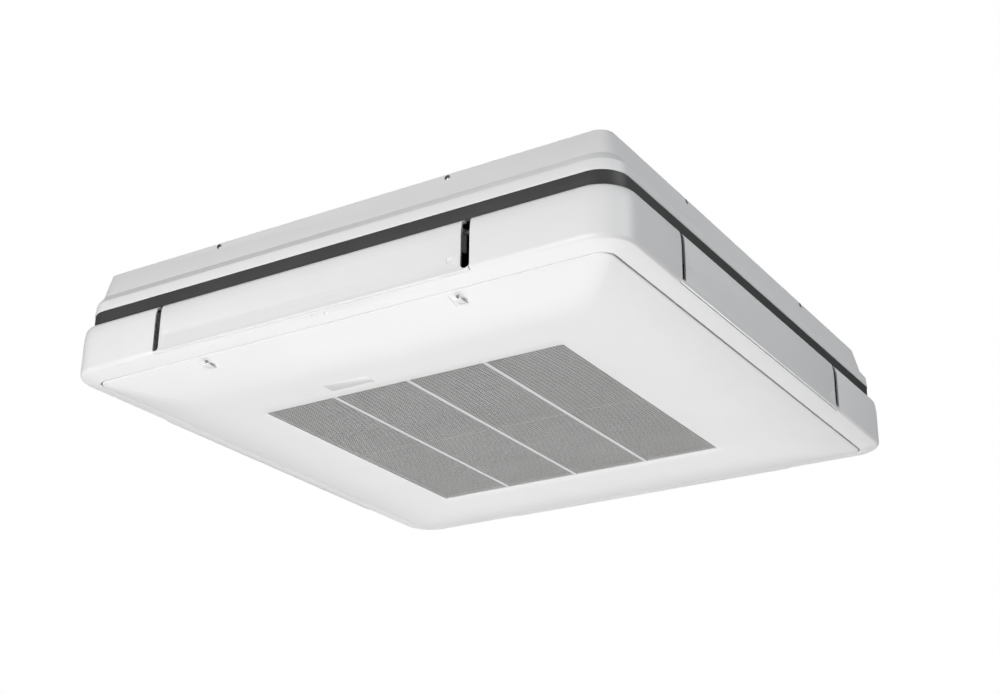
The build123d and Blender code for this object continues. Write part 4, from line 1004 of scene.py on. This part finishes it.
# Intake grille: a border, a fine lattice in four zones, and three ribs between them. A pitch
# is shortened by a hair, so that rounding doesn't lose the last bar.
GRILLE_LOW = PANEL_LOW + 2.5
BORDER_OUT, BORDER_RADIUS = 8.0, 12.5
BORDER_SECTION = ((0.0, 0.0), (0.0, 3.0), (8.3, 3.0), (8.7, 2.6), (8.7, 0.4), (8.3, 0.0))
RIB_WIDTH = 7.0
RIB_LOW, RIB_HIGH = PANEL_LOW + 0.8, GRILLE_LOW + 2.6
ZONE = (2 * OPENING_X - 3 * RIB_WIDTH) / 4
MESH_PITCH = 4.6
MESH_BAR = 0.8
BAR_HEIGHT = 0.9
ROW_END = OPENING_Y - 0.6
ROW_LEVEL, COLUMN_LEVEL = GRILLE_LOW - 0.3, GRILLE_LOW + 0.2
HAIR = 0.9999


def grille_border(bm):
    loops = []
    for inset, rise in BORDER_SECTION:
        out = BORDER_OUT - inset
        loops.append(ring(OPENING_X + out, OPENING_Y + out, BORDER_RADIUS - inset, GRILLE_LOW + rise, 4))
    add_loops(bm, loops)


def grille_ribs(bm):
    for column in range(3):
        middle = -OPENING_X + (column + 1) * (ZONE + RIB_WIDTH) - RIB_WIDTH / 2
        left, right = about(middle, RIB_WIDTH / 2)
        outline = rounded([
            (left, RIB_LOW, 1.0), (right, RIB_LOW, 1.0), (right, RIB_HIGH, 0.0), (left, RIB_HIGH, 0.0),
        ], 4)
        add_prism(bm, outline, along_y, -OPENING_Y + 0.3, OPENING_Y - 0.3)


ribs = made("grille ribs", grille_ribs)
fitted(shaded(ribs, 30.0), "panel", ["intake_grille"], "grille_plastic")
ribs.data.materials[0] = material(
    "grille rib plastic", grey(0.66, 0.002), grey(0.69, 0.002), (0.42, 0.52), grain=1500.0, depth=0.06,
)

row_pitch = 2 * ROW_END / int(2 * ROW_END / MESH_PITCH)
column_pitch = ZONE / int(ZONE / MESH_PITCH)
row_size = (ZONE - 0.4, MESH_BAR, BAR_HEIGHT)
column_size = (2 * ROW_END, MESH_BAR, BAR_HEIGHT)
parts = [made("grille border", grille_border)]
for column in range(4):
    middle = -OPENING_X + ZONE / 2 + column * (ZONE + RIB_WIDTH)
    path = [(middle, -ROW_END, ROW_LEVEL), (middle, ROW_END, ROW_LEVEL)]
    parts.append(bars("grille rows", path, row_pitch * HAIR, row_size, "grille_plastic"))
    start, end = middle - ZONE / 2 + column_pitch / 2, middle + ZONE / 2 - column_pitch / 2
    path = [(start, 0.0, COLUMN_LEVEL), (end, 0.0, COLUMN_LEVEL)]
    parts.append(bars("grille columns", path, column_pitch * HAIR, column_size, "grille_plastic"))
fitted(shaded(joined("intake grille", parts), 30.0), "panel", ["intake_grille"], "grille_plastic")


# Filter net: fine threads both ways on the filter frame.
NET_TOP = GRILLE_LOW + 7.0
NET_INSET = 2.3
NET_X, NET_Y = OPENING_X - NET_INSET, OPENING_Y - NET_INSET
THREAD_PITCH = 2.4
THREAD = (0.55, 0.5)
LOW_THREADS, HIGH_THREADS = NET_TOP - 0.72, NET_TOP - 0.30

across_net = (LOW_THREADS, NET_X - 0.4, 0.0, 2 * NET_Y)
along_net = (HIGH_THREADS, 0.0, NET_Y - 0.4, 2 * NET_X)
parts = []
for level, x, y, length in (across_net, along_net):
    path = [(-x, -y, level), (x, y, level)]
    parts.append(bars("net threads", path, THREAD_PITCH, (length, *THREAD), "filter_cloth"))
fitted(shaded(joined("filter net", parts), 30.0), "panel", ["filter_net"], "filter_cloth")


# Heat exchanger: hundreds of thin fins, upright on a path round three corners of the fan.
FIN_LOW, FIN_HIGH = (corner.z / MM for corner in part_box("coil_fins"))
FIN_LEVEL = (FIN_LOW + FIN_HIGH) / 2
FIN_PITCH = 1.9
FIN_SIZE = (37.0, 0.22, FIN_HIGH - FIN_LOW - 0.2)
COIL_MIDDLE = 281.0
COIL_RADIUS = 71.0
COIL_END = 199.0


def fin_path(steps=30):
    path = [(-COIL_END, COIL_MIDDLE, FIN_LEVEL)]
    centre = COIL_MIDDLE - COIL_RADIUS
    for quarter, (x, y) in enumerate(((1, 1), (1, -1), (-1, -1))):
        for step in range(steps + 1):
            angle = math.pi / 2 * (1 - quarter - step / steps)
            across = COIL_RADIUS * math.cos(angle), COIL_RADIUS * math.sin(angle)
            path.append((x * centre + across[0], y * centre + across[1], FIN_LEVEL))
    path.append((-COIL_MIDDLE, COIL_END, FIN_LEVEL))
    return path


fins = bars("coil fins", fin_path(), FIN_PITCH, FIN_SIZE, "fin_metal")
fitted(shaded(fins, 30.0), "unit", ["coil_fins"], "fin_metal")


# A pale floor far below, with a weak glow in the camera's sight only.
FLOOR_TOP = -4500.0
FLOOR_HALF, FLOOR_RADIUS, FLOOR_THICK = 14000.0, 3000.0, 40.0
FLOOR_GLOW = 0.55


def floor_shape(bm):
    levels = (FLOOR_TOP - FLOOR_THICK, FLOOR_TOP)
    add_loops(bm, [ring(FLOOR_HALF, FLOOR_HALF, FLOOR_RADIUS, level, 8) for level in levels], closed=False)


def floor_material():
    paving = material("pale floor", grey(0.80), grey(0.82), (0.55, 0.70), grain=120.0, depth=0.05, dust=0.0)
    tree = paving.node_tree
    sight = tree.nodes.new("ShaderNodeLightPath")
    faint = tree.nodes.new("ShaderNodeMath")
    faint.operation = "MULTIPLY"
    faint.inputs[1].default_value = FLOOR_GLOW
    tree.links.new(sight.outputs["Is Camera Ray"], faint.inputs[0])
    shader = tree.nodes["Principled BSDF"]
    shader.inputs["Emission Color"].default_value = grey(1.0)
    tree.links.new(faint.outputs["Value"], shader.inputs["Emission Strength"])
    return paving


floor = made("floor", floor_shape)
floor.data.materials.append(floor_material())


# A white backdrop in the camera's sight, and a faint glow from all sides for the rest.
BACKDROP = (0.997, 0.997, 0.997, 1.0)
GLOW, GLOW_STRENGTH = (0.97, 0.985, 1.0, 1.0), 0.08

world = bpy.data.worlds.new("studio")
bpy.context.scene.world = world
world.use_nodes = True
tree = world.node_tree
tree.nodes.clear()
out = tree.nodes.new("ShaderNodeOutputWorld")
paths = tree.nodes.new("ShaderNodeLightPath")
seen = tree.nodes.new("ShaderNodeBackground")
glow = tree.nodes.new("ShaderNodeBackground")
choose = tree.nodes.new("ShaderNodeMixShader")
seen.inputs["Color"].default_value = BACKDROP
seen.inputs["Strength"].default_value = 1.0
glow.inputs["Color"].default_value = GLOW
glow.inputs["Strength"].default_value = GLOW_STRENGTH
tree.links.new(paths.outputs["Is Camera Ray"], choose.inputs["Fac"])
tree.links.new(glow.outputs["Background"], choose.inputs[1])
tree.links.new(seen.outputs["Background"], choose.inputs[2])
tree.links.new(choose.outputs["Shader"], out.inputs["Surface"])


# Soft square lamps: name, place, target and side in metres, power in watts, and colour.
UNIT_MIDDLE = (0.0, 0.0, -0.12)
WHITE, COOL = (1.0, 1.0, 1.0), (0.965, 0.98, 1.0)
LAMPS = (
    ("front lamp", (-0.56, -3.18, -0.81), UNIT_MIDDLE, 1.6, 43.0, WHITE),
    ("low front lamp", (0.0, -2.86, -1.77), UNIT_MIDDLE, 1.6, 45.0, WHITE),
    ("low back lamp", (0.0, 1.97, -2.47), UNIT_MIDDLE, 1.6, 35.0, WHITE),
    ("low left lamp", (-1.27, 1.51, -2.47), UNIT_MIDDLE, 1.6, 26.0, WHITE),
    ("back lamp", (-2.1, 2.3, 1.7), UNIT_MIDDLE, 2.4, 70.0, WHITE),
    ("top lamp", (-1.1, 1.1, 3.0), (0.0, 0.0, 0.0), 2.4, 45.0, WHITE),
    ("right lamp", (3.10, 0.0, 1.01), UNIT_MIDDLE, 1.6, 48.0, COOL),
)


def lamp(name, place, target, size, power, colour):
    light = bpy.data.lights.new(name, "AREA")
    light.color = colour
    light.shape = "RECTANGLE"
    light.size = light.size_y = size
    light.energy = power
    obj = placed(name, light)
    obj.location = place
    obj.rotation_mode = "QUATERNION"
    obj.rotation_quaternion = (Vector(target) - Vector(place)).to_track_quat("-Z", "Y")
    obj.visible_camera = False


for values in LAMPS:
    lamp(*values)


# The camera stands at the photograph's place, below the unit and looking up at it.
YAW, PITCH, ROLL = math.radians(32.364), math.radians(23.083), math.radians(0.6)
CAMERA_PLACE = (1.3232, -2.0838, -1.1034)
FOCAL_PIXELS, PHOTO_WIDTH = 1652.5, 1000.0
SENSOR = 36.0

ahead = Vector((-math.sin(YAW) * math.cos(PITCH), math.cos(YAW) * math.cos(PITCH), math.sin(PITCH)))
level_right = Vector((math.cos(YAW), math.sin(YAW), 0.0))
level_up = level_right.cross(ahead)
right = level_right * math.cos(ROLL) + level_up * math.sin(ROLL)
up = level_up * math.cos(ROLL) - level_right * math.sin(ROLL)
camera = bpy.data.cameras.new("camera")
camera.sensor_fit = "HORIZONTAL"
camera.sensor_width = SENSOR
camera.lens = FOCAL_PIXELS * SENSOR / PHOTO_WIDTH
camera.clip_start, camera.clip_end = 0.05, 60.0
eye = placed("camera", camera)
axes = Matrix((right, up, -ahead)).transposed()
eye.matrix_world = Matrix.Translation(CAMERA_PLACE) @ axes.to_4x4()
bpy.context.scene.camera = eye
bpy.context.scene.view_settings.view_transform = "Standard"
